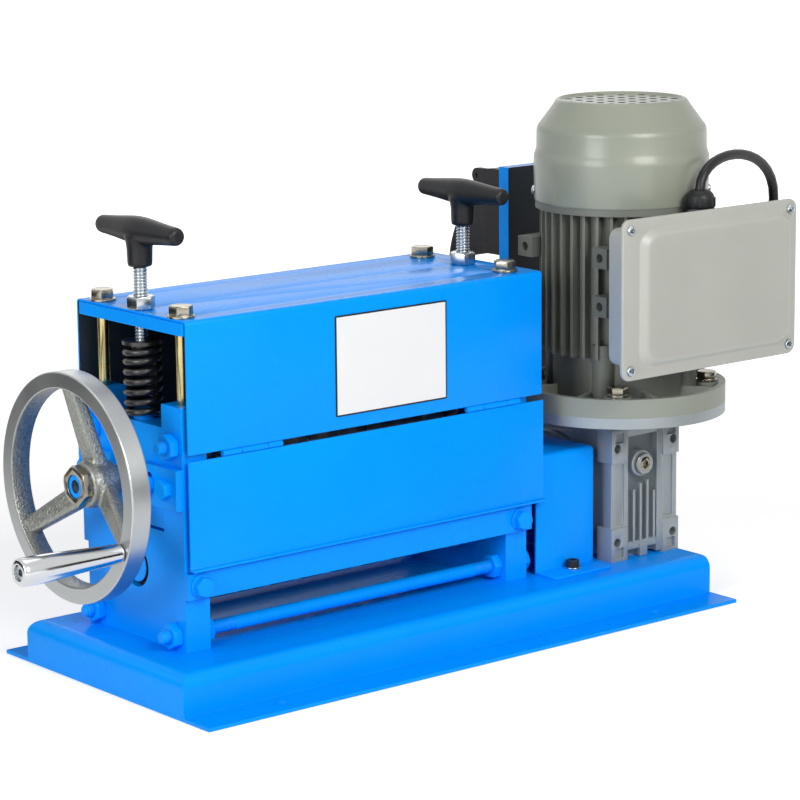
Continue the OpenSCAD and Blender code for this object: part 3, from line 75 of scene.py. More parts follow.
# The cosines between which paint gets thin at an edge, and how much of the edge's colour shows there
EDGE_START, EDGE_FULL, EDGE_SHARE = 0.97, 0.8, 0.35
# One period of the wave texture
WAVE = 6.28
# How far a face is turned to count as facing one way, and how near places are the same, in metres
FLAT = 0.9
NEAR = 1e-5


# Finishes


def linear(code: str) -> tuple[float, float, float, float]:
    """Turns an sRGB hex code into a linear colour."""
    parts = [int(code[i:i + 2], 16) / 255 for i in (1, 3, 5)]
    return (*[c / 12.92 if c <= 0.04045 else ((c + 0.055) / 1.055) ** 2.4 for c in parts], 1.0)


def bare_tree(owner: Material | bpy.types.World) -> Tree:
    """Gives a material or world an empty node tree.

    Args:
        owner: The material or world.

    Returns:
        Its tree.
    """
    owner.use_nodes = True
    owner.node_tree.nodes.clear()
    return owner.node_tree


def add_node(tree: Tree, kind: str, settings: dict | None = None, links: dict | None = None) -> Node:
    """Adds a shader node with its settings and links.

    Args:
        tree: The material's node tree.
        kind: The node's type name.
        settings: Values for its sockets, or for its properties where no socket has that name.
        links: The sockets that feed its inputs, by the input's name or number.

    Returns:
        The new node.
    """
    node = tree.nodes.new(kind)
    for name, value in (settings or {}).items():
        if name in node.inputs:
            node.inputs[name].default_value = value
        else:
            setattr(node, name, value)
    for name, socket in (links or {}).items():
        tree.links.new(socket, node.inputs[name])
    return node


class Grain(Enum):
    """How a surface was made, which decides the pattern of its bump."""

    SPRAYED = "sprayed"
    CAST = "cast"
    TURNED_X = "turned about X"
    TURNED_Z = "turned about Z"
    PLATED = "plated"
    MOULDED = "moulded"


@dataclass(frozen=True)
class Finish:
    """One finish: a material, how its surface was made, and how it takes the light.

    Colours drift between two tones in patches. The grain's size and the edges' radius are in millimetres.
    """

    name: str
    colour: str
    drift: str
    roughness: float
    grain: Grain
    grain_mm: float
    depth: float
    metallic: float = 0.0
    ior: float = 1.5
    coat: float = 0.0
    specular: float = 0.5
    patch_mm: float = 70.0
    edge_mm: float = 0.7
    edge_colour: str = ""
    axis: Point = ORIGIN

    def build(self) -> Material:
        """Makes the material.

        Returns:
            The finished material.
        """
        material = bpy.data.materials.new(self.name)
        tree = bare_tree(material)
        coords = add_node(tree, "ShaderNodeTexCoord").outputs["Object"]
        patch = add_node(tree, "ShaderNodeTexNoise", {"Scale": 1 / (self.patch_mm * MM), "Detail": 4.0},
                         {"Vector": coords}).outputs["Fac"]
        tone = add_node(tree, "ShaderNodeMixRGB",
                        {"Color1": linear(self.colour), "Color2": linear(self.drift)},
                        {"Fac": patch}).outputs["Color"]
        # Bent and cast edges are never sharp: the bevel rounds how they catch the light
        edge = add_node(tree, "ShaderNodeBevel",
                        {"samples": 4, "Radius": self.edge_mm * MM}).outputs["Normal"]
        if self.edge_colour:
            tone = self.worn_edges(tree, edge, tone)
        bump = add_node(tree, "ShaderNodeBump",
                        {"Strength": self.depth, "Distance": self.grain_mm * MM * BUMP_SHARE},
                        {"Height": self.pattern(tree, coords), "Normal": edge})
        least, most = (self.roughness * share for share in GLOSS_SPREAD)
        gloss = add_node(tree, "ShaderNodeMapRange", {"To Min": least, "To Max": min(1.0, most)},
                         {"Value": patch})
        shader = add_node(
            tree, "ShaderNodeBsdfPrincipled",
            {"Metallic": self.metallic, "IOR": self.ior, "Specular IOR Level": self.specular,
             "Coat Weight": self.coat, "Coat Roughness": COAT_ROUGHNESS},
            {"Base Color": tone, "Roughness": gloss.outputs["Result"], "Normal": bump.outputs["Normal"]})
        add_node(tree, "ShaderNodeOutputMaterial", {}, {"Surface": shader.outputs["BSDF"]})
        return material

    def worn_edges(self, tree: Tree, edge: Socket, tone: Socket) -> Socket:
        """Lightens the paint where it is thin, along the edges.

        Args:
            tree: The material's node tree.
            edge: The rounded normal.
            tone: The colour away from the edges.

        Returns:
            The colour with lighter edges.
        """
        plain = add_node(tree, "ShaderNodeNewGeometry").outputs["True Normal"]
        same = add_node(tree, "ShaderNodeVectorMath", {"operation": "DOT_PRODUCT"}, {0: edge, 1: plain})
        thin = add_node(tree, "ShaderNodeMapRange",
                        {"From Min": EDGE_START, "From Max": EDGE_FULL, "To Min": 0.0, "To Max": EDGE_SHARE},
                        {"Value": same.outputs["Value"]})
        return add_node(tree, "ShaderNodeMixRGB", {"Color2": linear(self.edge_colour)},
                        {"Fac": thin.outputs["Result"], "Color1": tone}).outputs["Color"]

    def pattern(self, tree: Tree, coords: Socket) -> Socket:
        """Makes the height of the surface's own grain.

        Args:
            tree: The material's node tree.
            coords: The object coordinates.

        Returns:
            The height socket.
        """
        scale = 1 / (self.grain_mm * MM)
        if self.grain in (Grain.TURNED_X, Grain.TURNED_Z):
            # Tool marks run round the axis: rings on the faces, and lines round the sides
            turn = ORIGIN if self.grain is Grain.TURNED_Z else (0.0, -math.pi / 2, 0.0)
            place = add_node(tree, "ShaderNodeMapping",
                             {"vector_type": "TEXTURE", "Location": tuple(Vector(self.axis) * MM),
                              "Rotation": turn}, {"Vector": coords}).outputs["Vector"]
            rings, lines = (
                add_node(tree, "ShaderNodeTexWave",
                         {"wave_type": kind, way: "Z", "Scale": scale / WAVE, "Distortion": 0.6,
                          "Detail": 2.0}, {"Vector": place}).outputs["Fac"]
                for kind, way in (("RINGS", "rings_direction"), ("BANDS", "bands_direction")))
            return add_node(tree, "ShaderNodeMath", {"operation": "ADD"},
                            {0: rings, 1: lines}).outputs["Value"]
        if self.grain is Grain.CAST:
            return add_node(tree, "ShaderNodeTexVoronoi", {"feature": "SMOOTH_F1", "Scale": scale},
                            {"Vector": coords}).outputs["Distance"]
        detail = {Grain.SPRAYED: 1.0, Grain.PLATED: 2.0, Grain.MOULDED: 6.0}[self.grain]
        return add_node(tree, "ShaderNodeTexNoise", {"Scale": scale, "Detail": detail},
                        {"Vector": coords}).outputs["Fac"]


WHEEL_AXIS = (0.0, 8.0, 173.0)
ROLLER_AXIS = (0.0, 8.0, 98.0)
MOTOR_AXIS = (248.0, -42.0, 0.0)
# Where the motor's lower bell begins, in millimetres; above it the flange gets the darker paint as painted
# shade
BELL_LOW = 197.5

FINISHES = {
    # Gloss stove enamel on sheet steel: even colour, a faint orange peel and lighter edges
    "blue": Finish(
        "Azure stove enamel, sprayed", "#0092fa", "#009aff", 0.27, Grain.SPRAYED, 2.4, 0.01, specular=0.1,
        edge_colour="#3aaeff", edge_mm=0.9),
    # Die-cast alloy under warm grey machine paint: dull, with a fine cast grain
    "motor": Finish(
        "Warm grey machine paint on cast alloy", "#82867b", "#8e9287", 0.48, Grain.CAST, 1.6, 0.22,
        edge_colour="#b9bcb2", edge_mm=0.8),
    # The finned frame has the same paint, darker: painted shade for the shade that falls among the fins
    "stator": Finish(
        "Warm grey machine paint on finned alloy", "#63665e", "#71746b", 0.5, Grain.CAST, 1.6, 0.22,
        edge_colour="#a3a69c", edge_mm=0.8),
    # Pressed steel under the same paint: smoother and a little shinier
    "fan_cover": Finish(
        "Warm grey machine paint on pressed steel", "#868b7d", "#919688", 0.34, Grain.SPRAYED, 2.0, 0.06,
        coat=0.15, edge_colour="#c0c3b8", edge_mm=1.2),
    # Powder coat on a die-cast box: pale, satin and slightly bumpy
    "box": Finish(
        "Light grey powder coat", "#a8a9a1", "#b1b2aa", 0.38, Grain.SPRAYED, 1.4, 0.08, coat=0.1,
        edge_colour="#c6c8c2", edge_mm=1.0),
    # Shot-blasted gearbox casting with a thin silver coat: cool, matt and grainy
    "gearbox": Finish(
        "Silver coat on shot-blasted alloy", "#90979a", "#9da4a6", 0.4, Grain.CAST, 1.2, 0.3, metallic=0.35,
        edge_colour="#c3c8ca", edge_mm=0.8),
    # The same coat, darker and duller at the bottom of a recess
    "gearbox_low": Finish(
        "Silver coat, darker, on cast alloy", "#5d6669", "#6a7376", 0.5, Grain.CAST, 1.2, 0.4, metallic=0.35,
        edge_mm=0.6),
    # Yellow chromate over zinc: gold that drifts to green and rose
    "yellow_zinc": Finish(
        "Yellow chromate zinc plate", "#b79b58", "#c3c29a", 0.22, Grain.PLATED, 0.6, 0.06, metallic=1.0,
        patch_mm=9.0, edge_mm=0.4),
    # The same plate on bolt heads, thinner and more like nickel
    "pale_zinc": Finish(
        "Pale chromate zinc plate", "#8d887a", "#a39e90", 0.22, Grain.PLATED, 0.8, 0.08, metallic=1.0,
        patch_mm=12.0, edge_mm=0.5),
    # Clear zinc plate: bluish white and bright
    "bright_zinc": Finish(
        "Clear zinc plate", "#a9b0b4", "#b9bfc2", 0.2, Grain.PLATED, 0.7, 0.06, metallic=1.0, patch_mm=14.0,
        edge_mm=0.5),
    # Oil-blackened spring steel: black with a soft sheen
    "spring": Finish(
        "Oil-blackened spring steel", "#0f0f11", "#19191b", 0.3, Grain.PLATED, 0.8, 0.1, ior=1.6,
        patch_mm=12.0, edge_mm=0.3),
    # Black oxide on socket screws
    "black_oxide": Finish(
        "Black oxide steel", "#1b1b1d", "#262629", 0.38, Grain.PLATED, 0.6, 0.1, metallic=0.4, patch_mm=8.0,
        edge_mm=0.4),
    # Glass-filled nylon: satin black with a fine spark-eroded grain
    "black_plastic": Finish(
        "Glass-filled nylon, moulded", "#101113", "#16171a", 0.4, Grain.MOULDED, 0.7, 0.12, specular=0.3,
        patch_mm=25.0, edge_mm=0.6),
    # Rubber jacket: black, satin and smooth
    "lead": Finish(
        "Rubber cable jacket, extruded", "#0d0d0f", "#141416", 0.36, Grain.MOULDED, 1.2, 0.05, specular=0.35,
        patch_mm=30.0, edge_mm=0.3),
    # Sand-cast iron, bare: a coarse bright grain
    "cast_iron": Finish(
        "Bare sand-cast iron", "#61635f", "#b3b5af", 0.4, Grain.CAST, 1.7, 0.8, metallic=0.85, patch_mm=2.6,
        edge_mm=0.8),
    # The rim was turned bright after casting
    "rim": Finish(
        "Turned cast iron", "#a8abac", "#b4b7b7", 0.32, Grain.TURNED_X, 0.9, 0.06, metallic=1.0,
        patch_mm=30.0, edge_mm=0.6, axis=WHEEL_AXIS),
    # Polished chromium over steel
    "chrome": Finish(
        "Polished chromium plate", "#c4c6c8", "#cfd1d2", 0.15, Grain.PLATED, 1.5, 0.015, metallic=1.0,
        patch_mm=40.0, edge_mm=0.4),
    # Turned shaft steel
    "shaft": Finish(
        "Turned steel", "#a9abad", "#b5b7b9", 0.3, Grain.TURNED_X, 0.8, 0.08, metallic=1.0, patch_mm=25.0,
        edge_mm=0.5, axis=ROLLER_AXIS),
    # Ground tool steel blades
    "blade": Finish(
        "Ground tool steel", "#c3c7cb", "#cfd2d5", 0.2, Grain.TURNED_X, 0.6, 0.06, metallic=1.0,
        patch_mm=20.0, edge_mm=0.2, axis=WHEEL_AXIS),
    # Motor shaft, turned about its own axis
    "rotor": Finish(
        "Turned motor steel", "#a4a6a8", "#b0b2b4", 0.32, Grain.TURNED_Z, 0.8, 0.08, metallic=1.0,
        patch_mm=25.0, edge_mm=0.4, axis=MOTOR_AXIS),
    # Cast bronze, turned
    "bronze": Finish(
        "Turned bronze", "#a9824c", "#b58f58", 0.33, Grain.TURNED_X, 0.8, 0.08, metallic=1.0, patch_mm=20.0,
        edge_mm=0.4, axis=ROLLER_AXIS),
    # Bearing bushes: sintered bronze, dark with oil
    "sintered": Finish(
        "Oil-soaked sintered bronze", "#2c241a", "#392f22", 0.45, Grain.CAST, 0.5, 0.15, metallic=0.6,
        patch_mm=10.0, edge_mm=0.4),
    # Copper winding under brown varnish
    "winding": Finish(
        "Varnished copper winding", "#7a4a26", "#8a5730", 0.4, Grain.TURNED_Z, 1.2, 0.3, metallic=0.6,
        patch_mm=15.0, axis=MOTOR_AXIS),
    "green": Finish(
        "Green ABS, moulded", "#178a3c", "#1d9444", 0.3, Grain.MOULDED, 0.8, 0.05, patch_mm=20.0),
    "red": Finish("Red ABS, moulded", "#c01a16", "#cc211b", 0.3, Grain.MOULDED, 0.8, 0.05, patch_mm=20.0),
    # The hood's inside is near-black navy: painted shade for the shade inside it
    "painted_shade_navy": Finish(
        "Navy, painted shade", "#03131f", "#051a2a", 0.6, Grain.SPRAYED, 1.5, 0.1, patch_mm=60.0),
    # The roller is near black: painted shade for the shade behind the front bar
    "roller": Finish(
        "Roller steel, painted shade", "#0e0f10", "#151617", 0.5, Grain.TURNED_X, 0.8, 0.08, specular=0.12,
        patch_mm=25.0, edge_mm=0.5, axis=ROLLER_AXIS),
    # Enamelled plate
    "white": Finish(
        "White enamel plate", "#e4e5e4", "#ebebea", 0.32, Grain.SPRAYED, 2.0, 0.03, coat=0.2, edge_mm=0.3),
    "black_enamel": Finish("Black enamel", "#141416", "#1a1a1c", 0.3, Grain.SPRAYED, 2.0, 0.03, edge_mm=0.3),
}

# The finish of each CAD node that stays in view, by name
NODE_FINISH = {
    "blue": "base_pan left_end_plate right_end_plate tie_rods tie_rod_nuts keeper_plates frame_bolts "
            "cap_bars hood front_bar feed_plate gear_cover switch_bracket bearing_blocks "
            "guide_bolts flap hood_hinges flap_hinges",
    "bright_zinc": "base_bolts lock_nuts left_screw right_screw",
    "yellow_zinc": "cap_bolts",
    "pale_zinc": "flange_bolts wheel_fasteners",
    "bronze": "worm_wheel",
    "sintered": "lower_bushes upper_bushes",
    "gearbox": "gearbox_housing gearbox_covers input_flange",
    "motor": "motor_flange",
    "stator": "stator_frame",
    "fan_cover": "fan_cover",
    "box": "terminal_box terminal_lid",
    "black_oxide": "small_screws",
    "spring": "loading_springs spring_seats",
    "roller": "feed_roller",
    "black_plastic": "capacitors lead_glands switch_body left_handle right_handle cooling_fan switch_paddle",
    "lead": "motor_lead",
    "shaft": "blade_shaft blade_spacers blade_gear roller_gear",
    "blade": "cutting_blades",
    "rotor": "worm rotor",
    "winding": "stator_core",
    "cast_iron": "handwheel",
    "chrome": "crank_grip",
    "green": "start_button",
    "red": "stop_button",
}


class Paintshop:
    """Makes each finish once and hands it out."""

    def __init__(self) -> None:
        """Starts with no material made."""
        self.made: dict[str, Material] = {}

    def get(self, name: str) -> Material:
        """Gives the material of a finish."""
        if name not in self.made:
            self.made[name] = FINISHES[name].build()
        return self.made[name]

    def coat(self, mesh: bpy.types.Mesh, first: str, second: str, test: Callable) -> None:
        """Gives a mesh one finish, and a second one on the faces that pass a test.

        Args:
            mesh: The mesh to paint.
            first: The first finish's key.
            second: The second finish's key.
            test: Takes a face and says whether it gets the second finish.
        """
        mesh.materials.clear()
        mesh.materials.append(self.get(first))
        mesh.materials.append(self.get(second))
        for face in mesh.polygons:
            face.material_index = int(test(face))

    def dress_nodes(self) -> None:
        """Gives every CAD node its finish."""
        meshes = {name: node.data for name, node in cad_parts.items()}
        for name, nodes in NODE_FINISH.items():
            for node in nodes.split():
                meshes[node].materials.clear()
                meshes[node].materials.append(self.get(name))
        # The post's side that the motor hides gets the near-black navy as painted shade
        self.coat(meshes["switch_bracket"], "blue", "painted_shade_navy", lambda f: f.normal.y < -0.7)
        # The motor's lower bell gets the fins' darker paint as painted shade, for the shade that falls on it
        # between the terminal box and the hood
        self.coat(meshes["motor_flange"], "motor", "stator", lambda f: f.center.z > BELL_LOW * MM)


PAINT = Paintshop()


# Modelling


def at(x: float, y: float, z: float) -> Vector:
    """Gives a place in metres."""
    return Vector((x, y, z)) * MM


def facing(place: Point, direction: Point, turn: float = 0.0) -> Matrix:
    """Gives the move that takes a piece drawn along Z to a place and direction."""
    aim = Vector(direction).to_track_quat("Z", "Y").to_matrix().to_4x4()
    return Matrix.Translation(at(*place)) @ aim @ Matrix.Rotation(math.radians(turn), 4, "Z")


def runs(edge: bmesh.types.BMEdge, axis: int, least: float) -> bool:
    """Says whether an edge runs along an axis."""
    return abs(edge.verts[0].co[axis] - edge.verts[1].co[axis]) > least * MM


def lies(edge: bmesh.types.BMEdge, axis: int, place: float) -> bool:
    """Says whether both ends of an edge lie at one place along an axis."""
    return all(abs(v.co[axis] - place * MM) < NEAR for v in edge.verts)


def pick(piece: Object) -> None:
    """Makes a piece the only selected object, and the active one.

    Args:
        piece: The piece.
    """
    bpy.ops.object.select_all(action="DESELECT")
    piece.select_set(True)
    bpy.context.view_layer.objects.active = piece


def settle(piece: Object, place: Matrix | None = None) -> Object:
    """Moves a piece to its place and puts that place in its mesh.

    Args:
        piece: The piece to settle.
        place: The move that takes it from where it was modelled, or None to leave it there.

    Returns:
        The piece, unturned and unscaled at the origin.
    """
    pick(piece)
    bpy.ops.object.transform_apply(location=True, rotation=True, scale=True)
    if place is not None:
        piece.matrix_world = place
        bpy.ops.object.transform_apply(location=True, rotation=True, scale=True)
    return piece


@contextmanager
def editing(piece: Object, kind: str = "FACE") -> Iterator[None]:
    """Opens a piece in edit mode with nothing selected.

    Args:
        piece: The piece to edit.
        kind: What is selected: VERT, EDGE or FACE.

    Yields:
        Nothing, while the piece is open.
    """
    pick(piece)
    bpy.ops.object.mode_set(mode="EDIT")
    bpy.ops.mesh.select_mode(type=kind)
    bpy.ops.mesh.select_all(action="DESELECT")
    yield
    bpy.ops.object.mode_set(mode="OBJECT")


def choose(piece: Object, kind: str, test: Callable) -> None:
    """Selects what passes a test, in edit mode.

    Args:
        piece: The piece that is being edited.
        kind: VERT, EDGE or FACE.
        test: Takes one vertex, edge or face and says whether it is wanted.
    """
    bpy.ops.mesh.select_mode(type=kind)
    bpy.ops.mesh.select_all(action="DESELECT")
    mesh = bmesh.from_edit_mesh(piece.data)
    for part in {"VERT": mesh.verts, "EDGE": mesh.edges, "FACE": mesh.faces}[kind]:
        part.select_set(bool(test(part)))
    mesh.select_flush_mode()
    bmesh.update_edit_mesh(piece.data)


def round_off(piece: Object, test: Callable, width: float, segments: int, kind: str = "EDGE") -> None:
    """Rounds the edges or corners that pass a test, in edit mode.

    Args:
        piece: The piece that is being edited.
        test: Takes one vertex or edge and says whether it is rounded.
        width: The width of the rounding in mm.
        segments: How many steps round it.
        kind: VERT or EDGE.
    """
    choose(piece, kind, test)
    affect = "VERTICES" if kind == "VERT" else "EDGES"
    bpy.ops.mesh.bevel(offset=width * MM, segments=segments, affect=affect)


def face_out(piece: Object) -> None:
    """Merges doubles and turns every face outwards.

    Args:
        piece: The piece to mend.
    """
    with editing(piece):
        bpy.ops.mesh.select_all(action="SELECT")
        bpy.ops.mesh.remove_doubles(threshold=NEAR)
        bpy.ops.mesh.normals_make_consistent(inside=False)


def modify(piece: Object, kind: str, **settings: object) -> None:
    """Adds a modifier and applies it.

    Args:
        piece: The piece to change.
        kind: The modifier's type.
        settings: The modifier's properties.
    """
    pick(piece)
    modifier = piece.modifiers.new(kind.title(), kind)
    for name, value in settings.items():
        setattr(modifier, name, value)
    bpy.ops.object.modifier_apply(modifier=modifier.name)


def soften(piece: Object, width: float, segments: int = 2, angle: float = 35.0) -> None:
    """Rounds every sharp edge of a piece."""
    modify(piece, "BEVEL", width=width * MM, segments=segments, limit_method="ANGLE",
           angle_limit=math.radians(angle), use_clamp_overlap=True)


def fold(piece: Object, sheet: float) -> None:
    """Gives a folded surface the thickness of its sheet, inwards."""
    modify(piece, "SOLIDIFY", thickness=sheet * MM, offset=-1.0, use_even_offset=True)


def rough(piece: Object, grain: float, passes: int) -> None:
    """Melts a piece's parts into one and rounds all of it, as a casting is."""
    modify(piece, "REMESH", mode="VOXEL", voxel_size=grain * MM)
    modify(piece, "SMOOTH", factor=0.5, iterations=passes)


def start(name: str, add: Callable, **settings: object) -> Object:
    """Starts a piece from a primitive.

    Args:
        name: The piece's name.
        add: The operator that adds the primitive.
        settings: What the operator is told.

    Returns:
        The piece.
    """
    bpy.ops.object.select_all(action="DESELECT")
    add(**settings)
    piece = bpy.context.object
    piece.name = name
    return piece


def block(name: str, low: Point, high: Point) -> Object:
    """Starts a piece from a cube.

    Args:
        name: The piece's name.
        low: Its lowest corner in mm.
        high: Its highest corner in mm.

    Returns:
        The piece.
    """
    piece = start(name, bpy.ops.mesh.primitive_cube_add, size=1.0, location=(at(*low) + at(*high)) / 2)
    piece.scale = at(*high) - at(*low)
    return settle(piece)


def turned(
    name: str, profile: Sequence[Pair], sides: int = 64, place: Point = ORIGIN, axis: Point = UP
) -> Object:
    """Turns a piece as on a lathe: a disc is drawn out along the axis and scaled at each step.

    Args:
        name: The piece's name.
        profile: Distances along the axis and radii there, in mm.
        sides: How many sides a round has.
        place: The place in mm that distances are counted from.
        axis: The direction of the axis.

    Returns:
        The piece.
    """
    (along, radius), *steps = profile
    piece = start(name, bpy.ops.mesh.primitive_circle_add, vertices=sides, radius=radius * MM,
                  fill_type="NGON", location=(0, 0, along * MM))
    with editing(piece):
        bpy.ops.mesh.select_all(action="SELECT")
        for step, width in steps:
            bpy.ops.mesh.extrude_region_move(TRANSFORM_OT_translate={"value": (0, 0, (step - along) * MM)})
            ratio = width / radius
            bpy.ops.transform.resize(value=(ratio, ratio, 1), center_override=(0, 0, step * MM))
            along, radius = step, width
    settle(piece, facing(place, axis))
    face_out(piece)
    return piece


def cut(piece: Object, *tools: Object, how: str = "DIFFERENCE") -> None:
    """Cuts a piece with others, which are used up."""
    for tool in tools:
        modify(piece, "BOOLEAN", object=tool, operation=how, solver="EXACT")
        bpy.data.objects.remove(tool)


def drill(
    piece: Object, radius: float, span: Pair, sides: int = 32, place: Point = ORIGIN, axis: Point = UP
) -> None:
    """Drills a piece, or sinks a socket into it where the hole has six sides."""
    cut(piece, turned("drill", [(along, radius) for along in span], sides, place, axis))


def join(name: str, pieces: Sequence[Object]) -> Object:
    """Makes several pieces one.

    Args:
        name: The joined piece's name.
        pieces: The pieces, of which the first stays.

    Returns:
        The joined piece.
    """
    pick(pieces[0])
    for piece in pieces:
        piece.select_set(True)
    bpy.ops.object.join()
    pieces[0].name = name
    return pieces[0]


def repeated(piece: Object, places: Sequence[Matrix]) -> list[Object]:
    """Copies a piece, each copy with its own mesh, and uses it up.

    Args:
        piece: The piece to copy.
        places: The moves that take the copies to their places.

    Returns:
        The copies.
    """
    copies = []
    for place in places:
        twin = piece.copy()
        twin.data = piece.data.copy()
        bpy.context.scene.collection.objects.link(twin)
        copies.append(settle(twin, place))
    bpy.data.objects.remove(piece)
    return copies


def tube(name: str, path: Sequence[Vector], radius: float, sides: int = 4) -> Object:
    """Draws a round tube along a path as a curve.

    Args:
        name: The piece's name.
        path: The points that it follows, in metres.
        radius: The tube's radius in mm.
        sides: The curve's bevel resolution.

    Returns:
        The curve object.
    """
    curve = bpy.data.curves.new(name, "CURVE")
    curve.dimensions = "3D"
    curve.bevel_depth = radius * MM
    curve.bevel_resolution = sides
    curve.use_fill_caps = True
    spline = curve.splines.new("POLY")
    spline.points.add(len(path) - 1)
    for knot, place in zip(spline.points, path):
        knot.co = (*place, 1.0)
    spline.use_smooth = True
    piece = bpy.data.objects.new(name, curve)
    bpy.context.scene.collection.objects.link(piece)
    return piece


def finish(
    piece: Object, body: str, paint: str, nodes: Sequence[str] = (), angle: float = 32.0
) -> None:
    """Dresses a piece, sets it on its body and reports it.

    Args:
        piece: The finished mesh or curve.
        body: The CAD body that it rides on, or nothing for a piece that rides on none.
        paint: The finish's key.
        nodes: The CAD nodes that it stands for.
        angle: The sharpest angle that is shaded smooth, in degrees.
    """
    if not piece.data.materials:
        piece.data.materials.append(PAINT.get(paint))
    if piece.type == "MESH":
        pick(piece)
        bpy.ops.object.shade_smooth_by_angle(angle=math.radians(angle))
    if body:
        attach(piece, body)
    if nodes:
        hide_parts(*nodes)
    log.info("%s on %s", piece.name, body or "two bodies")


# Fasteners


@dataclass
class HexHead:
    """A hexagon head or nut with its corners turned off, drawn along Z from the origin.

    The crown is the flat ring's size as a share of the width over flats, and the slope is the chamfer's fall
    as a share of its width. The chamfer runs a little past the ends and the corners.
    """

    flats: float
    height: float
    both_ends: bool = False
    crown: float = 0.96
    slope: float = 0.58
    past_end: float = 0.2
    past_ring: float = 0.35
    past_corner: float = 0.02
    plain: float = 0.5

    def build(self, name: str) -> Object:
        """Models the head.

        Args:
            name: The piece's name.

        Returns:
            The head, standing on the origin.
        """
        corner, ring = self.flats / math.sqrt(3), self.flats / 2 * self.crown
        head = settle(start(name, bpy.ops.mesh.primitive_cylinder_add, vertices=6, radius=corner * MM,
                            depth=self.height * MM, location=(0, 0, self.height * MM / 2)))
        drop = (corner - ring) * self.slope
        tip, wide = ring - self.past_ring, corner + self.past_corner
        low = [(-self.past_end, corner + self.plain)]
        if self.both_ends:
            low = [(-self.past_end, tip), (drop, wide)]
        profile = [*low, (self.height - drop, wide), (self.height + self.past_end, tip)]
        cut(head, turned("form", profile), how="INTERSECT")
        soften(head, 0.25, 2, 20)
        return head


def washer(radius: float, place: Point) -> Object:
    """Turns a washer 2 mm thick."""
    profile = [(0.0, radius - 0.3), (0.3, radius), (1.7, radius), (2.0, radius - 0.3)]
    return turned("washer", profile, 48, place)


def thread(name: str, radius: float, pitch: float, low: float, high: float) -> Object:
    """Cuts a screw thread along Z as one winding ridge on a core.

    Args:
        name: The piece's name.
        radius: The thread's outer radius in mm.
        pitch: The rise of one turn in mm.
        low: The lower end in mm.
        high: The upper end in mm.

    Returns:
        The threaded rod, about the Z axis.
    """
    depth, lead_in = pitch * 0.6, 1.2
    core, tip = radius - depth * 0.7, radius - depth * 1.4
    ridge = start("ridge", bpy.ops.mesh.primitive_circle_add, vertices=4, radius=1.0,
                  rotation=(math.pi / 2, 0, 0), location=((radius - depth) * MM, 0, (low + pitch) * MM))
    ridge.scale = (depth * MM, pitch / 2 * MM, 1)
    settle(ridge)
    modify(ridge, "SCREW", axis="Z", screw_offset=pitch * MM, iterations=int((high - low) / pitch) - 1,
           steps=20, render_steps=20, angle=2 * math.pi, use_merge_vertices=False)
    with editing(ridge, "EDGE"):
        bpy.ops.mesh.select_non_manifold()
        bpy.ops.mesh.edge_face_add()
    body = turned(name, [(low, tip), (low + lead_in, core), (high - lead_in, core), (high, tip)], 40)
    rod = join(name, [body, ridge])
    face_out(rod)
    return rod


# Sub-assemblies, with all sizes in millimetres


